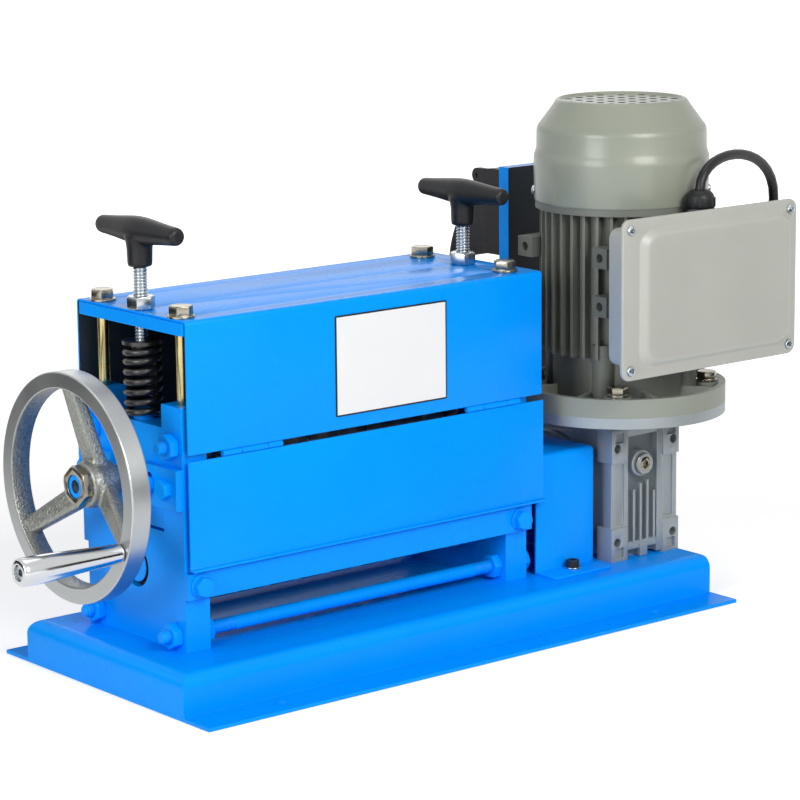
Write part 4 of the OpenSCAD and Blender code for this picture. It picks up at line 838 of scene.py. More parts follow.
@dataclass
class Guards:
    """Hood, hinged flap, gear cover and the bare plate on the hood."""

    left: float = -250.0
    hood_right: float = 129.0
    flap_right: float = 131.0
    front: float = -68.0
    back: float = 88.0
    hood_low: float = 202.0
    hood_top: float = 311.0
    flap_low: float = 106.0
    flap_top: float = 196.5
    sheet: float = 2.0
    bend: float = 3.5
    lip: float = 5.0
    lip_bend: float = 1.6
    bores_x: Pair = (-240.0, 104.0)
    bores: tuple[Pair, ...] = ((8.0, 6.3), (-48.0, 5.3), (64.0, 5.3))
    cover_low: Point = (128.0, -62.0, 39.5)
    cover_high: Point = (198.9, 72.0, 145.0)
    cover_sheet: float = 2.5
    cover_bend: float = 4.5
    foot: float = 26.0
    plate_x: Pair = (-100.0, 20.0)
    plate_z: Pair = (213.0, 298.0)
    plate_corner: float = 1.5
    border: float = 1.4

    def build(self) -> None:
        """Builds and dresses the guards."""
        self.hood()
        self.flap()
        self.gear_cover()
        self.plate()

    def hood(self) -> None:
        """Bends the hood from one sheet and drills it."""
        hood = block("hood_sheet", (self.left, self.front, self.hood_low),
                     (self.hood_right, self.back, self.hood_top))
        with editing(hood):
            choose(hood, "FACE", lambda f: f.normal.z < -FLAT or abs(f.normal.x) > FLAT)
            bpy.ops.mesh.delete(type="FACE")
            round_off(hood, lambda e: lies(e, Z, self.hood_top) and runs(e, X, 100), self.bend, 6)
        fold(hood, self.sheet)
        for x in self.bores_x:
            for y, radius in self.bores:
                drill(hood, radius, (self.hood_top - 20, self.hood_top + 19), 32, (x, y, 0))
        soften(hood, 0.35)
        # The inward faces of the hood get the near-black navy as painted shade
        PAINT.coat(hood.data, "blue", "painted_shade_navy", self.inside)
        finish(hood, "frame", "blue", ["hood"])

    def inside(self, face: bpy.types.MeshPolygon) -> bool:
        """Says whether a face of the hood looks inwards.

        Args:
            face: The face.

        Returns:
            Whether it does.
        """
        away = face.center - at(0, (self.front + self.back) / 2, self.hood_low + 20)
        away.x = 0.0
        return abs(face.normal.x) < 0.5 and face.normal.dot(away.normalized()) < -0.3

    def flap(self) -> None:
        """Makes the flap, with its lower edge bent out."""
        crease = self.flap_low + self.sheet
        flap = block("flap_sheet", (self.left, self.front, self.flap_low),
                     (self.flap_right, self.front + self.sheet, self.flap_top))
        with editing(flap):
            bpy.ops.mesh.select_all(action="SELECT")
            bpy.ops.mesh.bisect(plane_co=at(0, 0, crease), plane_no=UP)
            choose(flap, "FACE", lambda f: f.normal.y < -FLAT and f.calc_center_median().z < crease * MM)
            bpy.ops.mesh.extrude_region_move(TRANSFORM_OT_translate={"value": (0, -self.lip * MM, 0)})
            round_off(flap, lambda e: lies(e, Y, self.front) and lies(e, Z, crease), self.lip_bend, 4)
        soften(flap, 0.4)
        finish(flap, "flap", "blue", ["flap"])

    def gear_cover(self) -> None:
        """Bends the box over the drive, with a foot at the front and back."""
        low, high = self.cover_low, self.cover_high
        cover = block("gear_cover_sheet", low, high)
        with editing(cover):
            choose(cover, "FACE", lambda f: f.normal.z < -FLAT or f.normal.x < -FLAT)
            bpy.ops.mesh.delete(type="FACE")
            round_off(cover, lambda e: len(e.link_faces) == 2, self.cover_bend, 5)
            for y, way in ((low[Y], -1), (high[Y], 1)):
                choose(cover, "EDGE", lambda e: lies(e, Z, low[Z]) and lies(e, Y, y))
                bpy.ops.mesh.extrude_region_move(
                    TRANSFORM_OT_translate={"value": (0, way * self.foot * MM, 0)})
            bpy.ops.mesh.select_all(action="SELECT")
            bpy.ops.mesh.normals_make_consistent(inside=False)
        fold(cover, self.cover_sheet)
        soften(cover, 0.4)
        finish(cover, "frame", "blue", ["gear_cover"])

    def plate(self) -> None:
        """Sets a bare enamelled plate with a dark border on the hood."""
        (left, right), (low, high) = self.plate_x, self.plate_z
        plate = block("hood_plate", (left, self.front - 0.8, low), (right, self.front + 0.2, high))
        with editing(plate):
            round_off(plate, lambda e: runs(e, Y, 0.5), self.plate_corner, 4)
            choose(plate, "FACE", lambda f: f.normal.y < -FLAT)
            bpy.ops.mesh.inset(thickness=self.border * MM)
        field = max((f for f in plate.data.polygons if f.normal.y < -FLAT), key=lambda f: f.area).index
        PAINT.coat(plate.data, "black_enamel", "white", lambda f: f.index == field)
        finish(plate, "frame", "white")


@dataclass
class Stand:
    """Painted bolts, nuts and tie rods of the end plates."""

    left: float = -252.0
    right: float = 116.0
    plate: float = 24.0
    post_y: Pair = (-48.0, 64.0)
    guide_y: Pair = (-25.0, 41.0)
    rod_z: Pair = (50.0, 207.0)
    shaft_z: float = 173.0
    keeper: float = 7.0
    ring: float = 1.8
    bar_front: float = -67.0
    bar_bolt_z: float = 93.0
    feed_back: float = 84.0
    feed_bolt_z: Pair = (114.5, 160.5)
    nut: float = 8.4
    rod: float = 6.0
    pitch: float = 2.4
    roller: Pair = (8.0, 98.0)

    def build(self) -> None:
        """Builds and dresses the fasteners of the stand."""
        self.bolts()
        self.rods()
        self.roller_end()

    def bolts(self) -> None:
        """Sets the hexagon bolts on the keepers, the front bar and the feed plate."""
        head = HexHead(15.0, 6.8).build("bolt_head")
        ring = turned("washer", [(0, 9.6), (0.3, 10.0), (1.5, 10.0), (self.ring, 9.7)], 48)
        bolt = join("bolt", [head, turned("shank", [(-18, 3.9), (0.2, 3.9)], 24)])
        fixed, sliding, rings = [], [], []
        for x, way in ((self.left - self.keeper, -1), (self.right + self.keeper, 1)):
            fixed += [facing((x, y, self.shaft_z), (way, 0, 0), 8) for y in self.post_y]
            sliding += [facing((x + way * 0.3, y, self.shaft_z), (way, 0, 0), 20) for y in self.guide_y]
        for x in (self.left + self.plate / 2, self.right - self.plate / 2):
            fixed.append(facing((x, self.bar_front - self.ring, self.bar_bolt_z), FRONT, 12))
            fixed += [facing((x, self.feed_back, z), BACK, 5) for z in self.feed_bolt_z]
            rings.append(facing((x, self.bar_front, self.bar_bolt_z), FRONT))
        bolts = repeated(bolt, fixed + sliding)
        guides = bolts[len(fixed):]
        bolts = join("frame_bolt_set", bolts[:len(fixed)] + repeated(ring, rings))
        finish(bolts, "frame", "blue", ["frame_bolts"])
        finish(join("guide_bolt_set", guides), "carriage", "blue", ["guide_bolts"])

    def rods(self) -> None:
        """Sets the tie rods with threaded ends, and their nuts."""
        nut = HexHead(19.2, self.nut, both_ends=True).build("nut")
        seats = (self.left - self.nut, self.left + self.plate, self.right - self.plate - self.nut, self.right)
        posts = [(y, z) for y in self.post_y for z in self.rod_z]
        nuts = repeated(nut, [facing((x, *post), RIGHT, 11 * i)
                              for post in posts for i, x in enumerate(seats)])
        finish(join("tie_nut_set", nuts), "frame", "blue", ["tie_rod_nuts"])
        long = self.right - self.left
        middle = turned("middle", [(56, 5.2), (57, 5.9), (long - 51, 5.9), (long - 50, 5.2)], 40)
        ends = [thread("rod_end", self.rod, self.pitch, low, high)
                for low, high in ((-16.0, 60.0), (long - 52.0, long + 10.4))]
        rods = repeated(join("rod", [middle, *ends]), [facing((self.left, *post), RIGHT) for post in posts])
        finish(join("tie_rod_set", rods), "frame", "blue", ["tie_rods"])

    def roller_end(self) -> None:
        """Paints the end of the roller's shaft: a thin disc with its centre drilled."""
        place = (self.left + 1, *self.roller)
        cap = turned("roller_end_paint", [(-0.2, 13.8), (0.3, 13.8), (0.7, 13.3)], 64, place, LEFT)
        drill(cap, 4.0, (-2, 2), 32, place, LEFT)
        finish(cap, "feed_rotor", "blue")


@dataclass
class BladeLoading:
    """Loading screws, T-handles, springs, cap bolts and lock nuts."""

    screws_x: Pair = (-240.0, 104.0)
    posts_y: Pair = (-48.0, 64.0)
    y: float = 8.0
    hood_top: float = 311.0
    handle_z: float = 375.5
    stem_z: float = 346.0
    screw: float = 6.2
    pitch: float = 2.6
    screw_low: float = 279.6
    spring_low: float = 220.5
    spring_high: float = 282.5
    spring_od: float = 33.0
    wire: float = 6.0
    turns: int = 7
    turn_steps: int = 24

    def build(self) -> None:
        """Builds and dresses what loads the blades."""
        self.handles()
        self.screws()
        self.springs()
        self.cap_bolts()
        self.nuts()

    def on_screws(self, piece: Object, suffix: str, paint: str, node: str, angle: float) -> None:
        """Sets a copy of a piece on each loading screw.

        Args:
            piece: The piece, drawn about the Z axis.
            suffix: What follows the side in the copy's name.
            paint: The finish's key.
            node: What follows the side in the name of the CAD node that it stands for.
            angle: The sharpest angle that is shaded smooth, in degrees.
        """
        copies = repeated(piece, [facing((x, self.y, 0), UP) for x in self.screws_x])
        for side, twin in zip(("left", "right"), copies):
            twin.name = side + suffix
            finish(twin, side + "_screw", paint, [side + node], angle)

    def handles(self) -> None:
        """Moulds a T-handle and sets one on each screw."""
        half = [(0, 11.6), (7, 11.4), (16, 10.6), (30, 9.2), (42, 8.2), (50, 7.7), (53, 7.3), (54.4, 6.4),
                (55, 4.6)]
        profile = [(-along, radius) for along, radius in reversed(half)] + half[1:]
        foot, top = self.stem_z, self.handle_z
        bar = turned("bar", profile, 40, (0, 0, top), BACK)
        stem = turned("stem", [(foot, 9.2), (foot + 0.8, 10.0), (foot + 3, 10.3), (top - 14, 10.7),
                               (top - 9, 11.4), (top - 4, 12.6), (top, 8.0)], 40)
        cut(bar, stem, how="UNION")
        rough(bar, 1.1, 8)
        self.on_screws(bar, "_grip", "black_plastic", "_handle", 60)

    def screws(self) -> None:
        """Cuts the loading screws."""
        rod = thread("rod", self.screw, self.pitch, self.screw_low, self.stem_z + 18)
        self.on_screws(rod, "_thread", "bright_zinc", "_screw", 50)

    def coil(self, x: float) -> Object:
        """Winds one spring, with a closed turn at each end.

        Args:
            x: The spring's place along the machine in mm.

        Returns:
            The spring as a mesh.
        """
        radius = (self.spring_od - self.wire) / 2
        close = self.wire * 1.12
        rise = (self.spring_high - self.spring_low - self.wire - 2 * close) / (self.turns - 2)
        path = []
        for step in range(self.turns * self.turn_steps + 1):
            t = step / self.turn_steps
            up = (min(t, 1.0) * close + max(0.0, min(t - 1, self.turns - 2)) * rise
                  + max(0.0, t - self.turns + 1) * close)
            angle = 2 * math.pi * t
            path.append(at(x + radius * math.cos(angle), self.y + radius * math.sin(angle),
                           self.spring_low + self.wire / 2 + up))
        pick(tube("coil", path, self.wire / 2 - 0.03, 4))
        bpy.ops.object.convert(target="MESH")
        return bpy.context.object

    def springs(self) -> None:
        """Winds both springs between the blocks and the seats."""
        springs = join("spring_pair", [self.coil(x) for x in self.screws_x])
        finish(springs, "", "spring", ["loading_springs"], angle=60)
        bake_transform(springs)

    def cap_bolts(self) -> None:
        """Sets the long plated bolts, their heads and washers."""
        head = HexHead(17.4, 8.0).build("head")
        posts = [(x, y) for x in self.screws_x for y in self.posts_y]
        heads = repeated(head, [facing((*post, self.hood_top + 2), UP, turn)
                                for post, turn in zip(posts, (6, 20, 31, 45))])
        washers = [washer(11.0, (*post, self.hood_top)) for post in posts]
        profile = [(216, 4.6), (217, 5.0), (self.hood_top + 1, 5.0)]
        shanks = [turned("shank", profile, 40, (*post, 0)) for post in posts]
        finish(join("cap_bolt_shanks", shanks), "frame", "yellow_zinc", ["cap_bolts"])
        finish(join("cap_bolt_heads", heads + washers), "frame", "pale_zinc")

    def nuts(self) -> None:
        """Sets the lock nuts on the hood."""
        nut = HexHead(20.6, 11.0, both_ends=True).build("nut")
        drill(nut, self.screw + 0.05, (-1, 12), 40)
        nuts = repeated(nut, [facing((x, self.y, self.hood_top), UP, turn)
                              for x, turn in zip(self.screws_x, (10, 27))])
        finish(join("lock_nut_pair", nuts), "frame", "bright_zinc", ["lock_nuts"])


@dataclass
class CrankWheel:
    """Handwheel with cast spokes, a turned rim, a nut and a revolving grip."""

    y: float = 8.0
    z: float = 173.0
    rim_front: float = -318.0
    rim_back: float = -300.0
    outer: float = 95.0
    inner: float = 81.0
    rim_steps: int = 128
    hub_front: float = -302.0
    dish: float = 22.0
    hub_back: float = -275.0
    spoke_in: float = 10.0
    spoke_half: float = 7.5
    spoke_turn: float = 207.0
    crank: float = 86.0
    grip_length: float = 95.0
    grip_gap: float = 0.3
    shaft_end: float = 6.0

    def build(self) -> None:
        """Builds and dresses the wheel."""
        self.rim()
        self.spokes()
        self.fasteners()
        self.grip()

    def crank_at(self, x: float) -> Point:
        """Gives a place on the grip's axis."""
        turn = math.radians(self.spoke_turn)
        return x, self.y + self.crank * math.cos(turn), self.z + self.crank * math.sin(turn)

    def rim(self) -> None:
        """Turns the rim from a rounded section."""
        middle = self.z + (self.outer + self.inner) / 2
        rim = start("wheel_rim", bpy.ops.mesh.primitive_plane_add, size=1.0, rotation=(math.pi / 2, 0, 0),
                    location=at((self.rim_front + self.rim_back) / 2, self.y, middle))
        rim.scale = ((self.rim_back - self.rim_front) * MM, (self.outer - self.inner) * MM, 1)
        settle(rim)
        with editing(rim):
            round_off(rim, lambda v: v.co.z > middle * MM, 1.1, 2, "VERT")
            round_off(rim, lambda v: v.co.z < (self.z + self.inner + 0.1) * MM, 1.4, 3, "VERT")
            bpy.ops.mesh.select_all(action="SELECT")
            bpy.ops.mesh.delete(type="ONLY_FACE")
            bpy.ops.mesh.select_all(action="SELECT")
            bpy.ops.mesh.spin(steps=self.rim_steps, angle=2 * math.pi, center=at(0, self.y, self.z),
                              axis=RIGHT)
        face_out(rim)
        # The lathe reached the outside and the faces, and left the inside as cast
        cast = (self.inner + 0.9) * MM
        PAINT.coat(rim.data, "rim", "cast_iron",
                   lambda f: math.hypot(f.center.y - self.y * MM, f.center.z - self.z * MM) < cast)
        finish(rim, "blade_rotor", "rim", ["handwheel"], angle=15)

    def spoke(self, turn: float) -> Object:
        """Models one spoke, wider and further back at the hub.

        Args:
            turn: Its turn about the wheel's axis in degrees.

        Returns:
            The spoke.
        """
        bar = block("spoke", (self.rim_front + 4, self.spoke_in, -self.spoke_half),
                    (self.rim_back - 2, self.inner + 4, self.spoke_half))
        with editing(bar):
            choose(bar, "FACE", lambda f: f.normal.y < -FLAT)
            bpy.ops.transform.resize(value=(1.1, 1, 1.45),
                                     center_override=at(self.rim_back - 8, self.spoke_in, 0))
            bpy.ops.transform.translate(value=(self.dish * MM, 0, 0))
            round_off(bar, lambda e: runs(e, Y, 20), 3.0, 3)
        turning = Matrix.Rotation(math.radians(turn), 4, "X")
        return settle(bar, Matrix.Translation(at(0, self.y, self.z)) @ turning)

    def spokes(self) -> None:
        """Casts the hub, spokes and crank boss as one rough piece."""
        profile = [(self.hub_front, 17.5), (self.hub_front + 2, 19.0), (self.hub_front + 8, 20.0),
                   (self.hub_back - 6, 18.5), (self.hub_back, 17.0)]
        hub = turned("wheel_spokes", profile, 48, (0, self.y, self.z), RIGHT)
        boss = turned("boss", [(self.rim_front + 1, 8.0), (self.rim_back + 1, 8.5)], 32,
                      self.crank_at(0), RIGHT)
        cut(hub, *[self.spoke(self.spoke_turn + 120 * i) for i in range(3)], boss, how="UNION")
        rough(hub, 1.3, 5)
        finish(hub, "blade_rotor", "cast_iron", angle=70)

    def fasteners(self) -> None:
        """Sets the wheel nut, the grip's bolt and the painted end of the shaft."""
        nut = HexHead(30.0, 8.0, crown=1.04).build("wheel_nut")
        drill(nut, 10.05, (-1, 9), 48)
        settle(nut, facing((self.hub_front, self.y, self.z), LEFT, 12))
        soften(nut, 0.2, 2, 40)
        finish(nut, "blade_rotor", "pale_zinc", ["wheel_fasteners"])
        end = self.rim_front - self.grip_gap - self.grip_length
        bolt = turned("grip_bolt", [(end + 2, 3.2), (end + 2, 6.1), (end + 2.6, 6.45), (end + 10, 6.45),
                                    (end + 10, 4.0), (self.rim_back + 2, 4.0)], 40, self.crank_at(0), RIGHT)
        drill(bolt, 3.4, (end + 1, end + 6), 6, self.crank_at(0), RIGHT)
        finish(bolt, "blade_rotor", "bright_zinc")
        place = (self.hub_front - self.shaft_end, self.y, self.z)
        shaft = turned("shaft_end_paint", [(-0.2, 9.6), (0.5, 9.6), (1.0, 9.0)], 48, place, LEFT)
        drill(shaft, 5.6, (-2, 3), 32, place, LEFT)
        finish(shaft, "blade_rotor", "blue")
        # A black disc fills the shaft's centre hole as painted shade
        centre = turned("shaft_centre_shade", [(-0.2, 5.9), (0.2, 5.9), (0.3, 5.7)], 32, place, LEFT)
        finish(centre, "blade_rotor", "black_oxide")

    def grip(self) -> None:
        """Turns and bores the grip."""
        long, base = self.grip_length, self.crank_at(self.rim_front - self.grip_gap)
        profile = [(0, 6.4), (0.6, 7.2), (3, 8.0), (long * 0.3, 9.0), (long * 0.6, 10.6), (long * 0.78, 11.4),
                   (long - 4, 11.5), (long - 1.2, 11.0), (long - 0.3, 10.0), (long, 8.8)]
        grip = turned("crank_handle", profile, 64, base, LEFT)
        drill(grip, 4.05, (-1, long + 1), 40, base, LEFT)
        drill(grip, 6.55, (long - 10.3, long + 1), 48, base, LEFT)
        finish(grip, "crank_grip", "chrome", ["crank_grip"], angle=40)


@dataclass
class TerminalBox:
    """Terminal box, lid, small screws, glands and the lead to the switch."""

    x: float = 254.0
    z: float = 291.5
    lid_width: float = 213.0
    lid_height: float = 140.0
    lid_front: float = -156.0
    panel: float = 5.0
    corner: float = 9.0
    field_left: float = 18.0
    field_right: float = 8.0
    field_corner: float = 13.0
    box_front: float = -147.0
    box_back: float = -122.0
    neck_x: float = 248.0
    neck_half: Pair = (36.0, 40.0)
    pad: float = -108.0
    feet: tuple[Point, ...] = ((163.45, -71, 39.5), (163.45, 81, 39.5), (237, 96, 39.5), (287, 96, 39.5))
    gland: Point = (256.0, -133.7, 353.5)
    switch_gland: Point = (294.0, 78.0, 306.0)
    lead_d: float = 9.0
    mouth: float = 23.0
    rise: float = 42.0
    side: Point = (380.0, -102.0, 342.5)
    hang: Point = (4.0, -11.0, 70.0)
    nose: float = 14.0
    run: float = 40.0
    bend_steps: int = 16

    def build(self) -> None:
        """Builds and dresses the box and its lead."""
        self.lid()
        self.body()
        self.lid_screws()
        self.foot_screws()
        self.lead()
        self.glands()

    def lid(self) -> None:
        """Presses the lid: a rim with a raised field."""
        w, h = self.lid_width / 2, self.lid_height / 2
        lid = block("terminal_cover", (self.x - w, self.lid_front + self.panel, self.z - h),
                    (self.x + w, self.box_front, self.z + h))
        with editing(lid):
            round_off(lid, lambda e: runs(e, Y, 2), self.corner, 6)
        left, right = self.x - w + self.field_left, self.x + w - self.field_right
        h -= self.corner
        field = block("field", (left, self.lid_front, self.z - h),
                      (right, self.lid_front + self.panel + 1, self.z + h))
        with editing(field):
            choose(field, "FACE", lambda f: f.normal.y < -FLAT)
            size = (1 - 12 / (right - left), 1, 1 - 10 / (2 * h))
            middle = at(left + (right - left) * 8 / 12, self.lid_front, self.z)
            bpy.ops.transform.resize(value=size, center_override=middle)
            round_off(field, lambda e: runs(e, Y, 4), self.field_corner, 8)
            round_off(field, lambda e: lies(e, Y, self.lid_front), 2.5, 5)
        cut(lid, field, how="UNION")
        soften(lid, 1.1, 3, 28)
        finish(lid, "frame", "box", ["terminal_lid"])

    def body(self) -> None:
        """Casts the box behind the lid and its neck."""
        w, h = self.lid_width / 2 - 7, self.lid_height / 2 - 8
        body = block("terminal_housing", (self.x - w, self.box_front, self.z - h),
                     (self.x + w, self.box_back, self.z + h))
        with editing(body):
            choose(body, "FACE", lambda f: f.normal.y > FLAT)
            bpy.ops.transform.resize(value=(0.975, 1, 0.96),
                                     center_override=at(self.x, self.box_back, self.z))
            round_off(body, lambda e: runs(e, Y, 10), self.corner, 6)
            round_off(body, lambda e: lies(e, Y, self.box_back), 3, 4)
        w, h = self.neck_half
        neck = block("neck", (self.neck_x - w, self.box_back - 1, self.z - h),
                     (self.neck_x + w, self.pad, self.z + h))
        soften(neck, 3, 3)
        finish(join("terminal_housing", [body, neck]), "frame", "box", ["terminal_box"])

    def lid_screws(self) -> None:
        """Sets a cross-head screw in each corner of the lid."""
        screw = turned("screw", [(-6, 2.4), (0.05, 2.4), (0.05, 4.5), (1.4, 4.45), (2.3, 3.9), (2.9, 2.6),
                                 (3.0, 1.6)], 32)
        for turn in (0, 90):
            blade = block("cross", (-2.2, -0.5, 1.6), (2.2, 0.5, 4))
            cut(screw, settle(blade, Matrix.Rotation(math.radians(turn), 4, "Z")))
        w, h = self.lid_width / 2 - self.corner, self.lid_height / 2 - self.corner
        face = self.lid_front + self.panel
        places = [facing((self.x + sx * w, face, self.z + sz * h), FRONT, 35 * sx + 20 * sz)
                  for sx in (-1, 1) for sz in (-1, 1)]
        finish(join("lid_screw_set", repeated(screw, places)), "frame", "bright_zinc")

    def foot_screws(self) -> None:
        """Sets a socket screw and a washer on each foot of the gear cover and the switch's post."""
        cap = turned("cap_screw", [(-6, 2.4), (1.5, 2.4), (1.5, 5.6), (1.9, 5.9), (7.0, 5.9), (7.6, 5.4)], 40)
        drill(cap, 3.0, (4.0, 9), 6)
        ring = turned("washer", [(0.05, 7.3), (0.3, 7.6), (1.3, 7.6), (1.5, 7.4)], 40)
        caps = repeated(cap, [facing(place, UP, 20 * i) for i, place in enumerate(self.feet)])
        rings = repeated(ring, [facing(place, UP) for place in self.feet])
        finish(join("cap_screw_set", caps), "frame", "black_oxide", ["small_screws"])
        finish(join("cap_screw_washers", rings), "frame", "bright_zinc")

    def route(self) -> list[Vector]:
        """Gives the lead's way from the box to the switch.

        Returns:
            Points along the lead, in metres.
        """
        gland, last, side, hang = at(*self.gland), at(*self.switch_gland), at(*self.side), at(*self.hang)
        mouth, end = gland + at(0, 0, self.mouth), last - at(0, self.nose, 0)
        bends = ((mouth, mouth + at(0, 0, self.rise), side + hang, side),
                 (side, side - hang, end - at(0, self.run, 0), end))
        path = [gland + at(0, 0, 6)]
        for a, b, c, d in bends:
            for step in range(self.bend_steps):
                t = step / self.bend_steps
                s = 1 - t
                path.append(a * s ** 3 + b * 3 * t * s ** 2 + c * 3 * t * t * s + d * t ** 3)
        return [*path, end, last]

    def lead(self) -> None:
        """Hangs the lead between its glands."""
        path = self.route()
        lead = tube("motor_cable", path, self.lead_d / 2, 6)
        finish(lead, "frame", "lead", ["motor_lead"])

    def glands(self) -> None:
        """Moulds the glands that hold the lead's ends."""
        base = settle(HexHead(25.0, 8.0).build("gland_base"), facing(self.gland, UP, 30))
        dome = turned("dome", [(-8, 7.9), (8, 7.9), (8, 12.4), (8.6, 13.2), (17, 12.8), (20, 11.6),
                               (22.4, 9.2), (23.6, 6.4), (23.6, 4.6), (12, 4.6)], 48, self.gland)
        rib = block("rib", (-1.1, 12.2, 9), (1.1, 14.0, 16.5))
        centre = Matrix.Translation(at(*self.gland))
        ribs = repeated(rib, [centre @ Matrix.Rotation(math.radians(turn), 4, "Z")
                              for turn in range(0, 360, 30)])
        near = settle(HexHead(20.0, 6.0).build("gland_nut"), facing(self.switch_gland, FRONT, 15))
        nose = turned("nose", [(-2.4, 5.9), (6, 5.9), (9, 5.9), (11, 5.4), (12, 4.9), (12, 4.6), (8, 4.6)],
                      40, self.switch_gland, FRONT)
        glands = join("cable_glands", [base, dome, *ribs, near, nose])
        soften(glands, 0.3, 2, 40)
        finish(glands, "frame", "black_plastic", ["lead_glands"])


@dataclass
class Motor:
    """Fan cover and flange bolts."""

    x: float = 248.0
    y: float = -42.0
    cover_low: float = 360.5
    cover_r: float = 78.0
    screw_up: float = 9.0
    screw_turns: Point = (51, 141, 321)
    flange_top: float = 195.5
    bolt_low: float = 169.2
    bolt_circle: float = 78.0
    hole: float = 7.2
    hole_step: float = 9.4
    row_step: float = 11.0
    rows: int = 5
    grille: float = 49.5
    grille_edge: float = 3.4
    grille_turn: float = -42.8

    def build(self) -> None:
        """Builds and dresses what is on the motor."""
        self.fan_cover()
        self.cover_screws()
        self.bolts()

    def spot(self, radius: float, turn: float, z: float) -> Point:
        """Gives a place round the motor's axis."""
        turn = math.radians(turn)
        return self.x + radius * math.cos(turn), self.y + radius * math.sin(turn), z

    def fan_cover(self) -> None:
        """Presses the fan cover and punches its grille."""
        inside = [(88.0, 52.6), (85.0, 56.0), (82.0, 58.5), (67.0, 70.5), (62.0, 73.8), (46.5, 74.0),
                  (42.0, 76.5), (0.6, 76.0)]
        outside = [(0.0, 77.0), (0.6, 77.6), (2.0, 77.8), (37.0, 78.5), (41.0, 78.3), (44.5, 77.0),
                   (48.0, 76.1), (62.0, 75.9), (65.0, 75.6), (67.3, 74.6), (69.4, 72.9), (84.5, 61.8),
                   (87.3, 60.0), (89.5, 58.6), (90.7, 57.3), (91.0, 56.0), (90.6, 55.0), (89.4, 54.4),
                   (88.6, 53.8)]
        place = (self.x, self.y, self.cover_low)
        cover = turned("fan_cowl", inside + outside, 96, place)
        punch = turned("punch", [(84, self.hole / 2), (92, self.hole / 2)], 12)
        steps = range(-self.rows, self.rows + 1)
        holes = [(column * self.hole_step, row * self.row_step) for row in steps for column in steps
                 if (row + column) % 2 == 0]
        middle = facing(place, UP, self.grille_turn)
        punches = repeated(punch, [middle @ Matrix.Translation(at(*hole, 0)) for hole in holes
                                   if math.hypot(*hole) < self.grille])
        cut(cover, join("punches", punches))
        # Hole walls and the grille's inside are painted black as painted shade
        PAINT.coat(cover.data, "fan_cover", "black_oxide", self.grille_shade)
        finish(cover, "frame", "fan_cover", ["fan_cover"], angle=40)

    def grille_shade(self, face: bpy.types.MeshPolygon) -> bool:
        """Says whether a face of the fan cover is the side of a hole or the grille's inside, which are
        painted black as painted shade.
        """
        out = math.hypot(face.center.x - self.x * MM, face.center.y - self.y * MM)
        return out < (self.grille + self.grille_edge) * MM and face.normal.z < 0.7

    def cover_screws(self) -> None:
        """Sets the screws that hold the fan cover."""
        screw = turned("screw", [(-4, 2.0), (0.0, 2.0), (0.0, 4.0), (1.0, 3.9), (1.9, 3.2), (2.3, 2.0)], 32)
        cut(screw, block("slot", (-3.5, -0.4, 1.2), (3.5, 0.4, 3)))
        places = []
        for turn in self.screw_turns:
            out = (math.cos(math.radians(turn)), math.sin(math.radians(turn)), 0.0)
            places.append(facing(self.spot(self.cover_r, turn, self.cover_low + self.screw_up), out, turn))
        finish(join("fan_cover_screws", repeated(screw, places)), "frame", "bright_zinc")

    def bolts(self) -> None:
        """Sets the bolts and washers of the flange."""
        head = HexHead(16.0, 7.0).build("head")
        turns = range(45, 360, 90)
        parts = repeated(head, [facing(self.spot(self.bolt_circle, turn, self.flange_top + 2), UP, 19 * i + 8)
                                for i, turn in enumerate(turns)])
        for turn in turns:
            parts.append(washer(10.0, self.spot(self.bolt_circle, turn, self.flange_top)))
            parts.append(turned("shank", [(self.bolt_low, 4.9), (self.flange_top + 3, 4.9)], 32,
                                self.spot(self.bolt_circle, turn, 0)))
        finish(join("flange_bolt_set", parts), "frame", "pale_zinc", ["flange_bolts"])


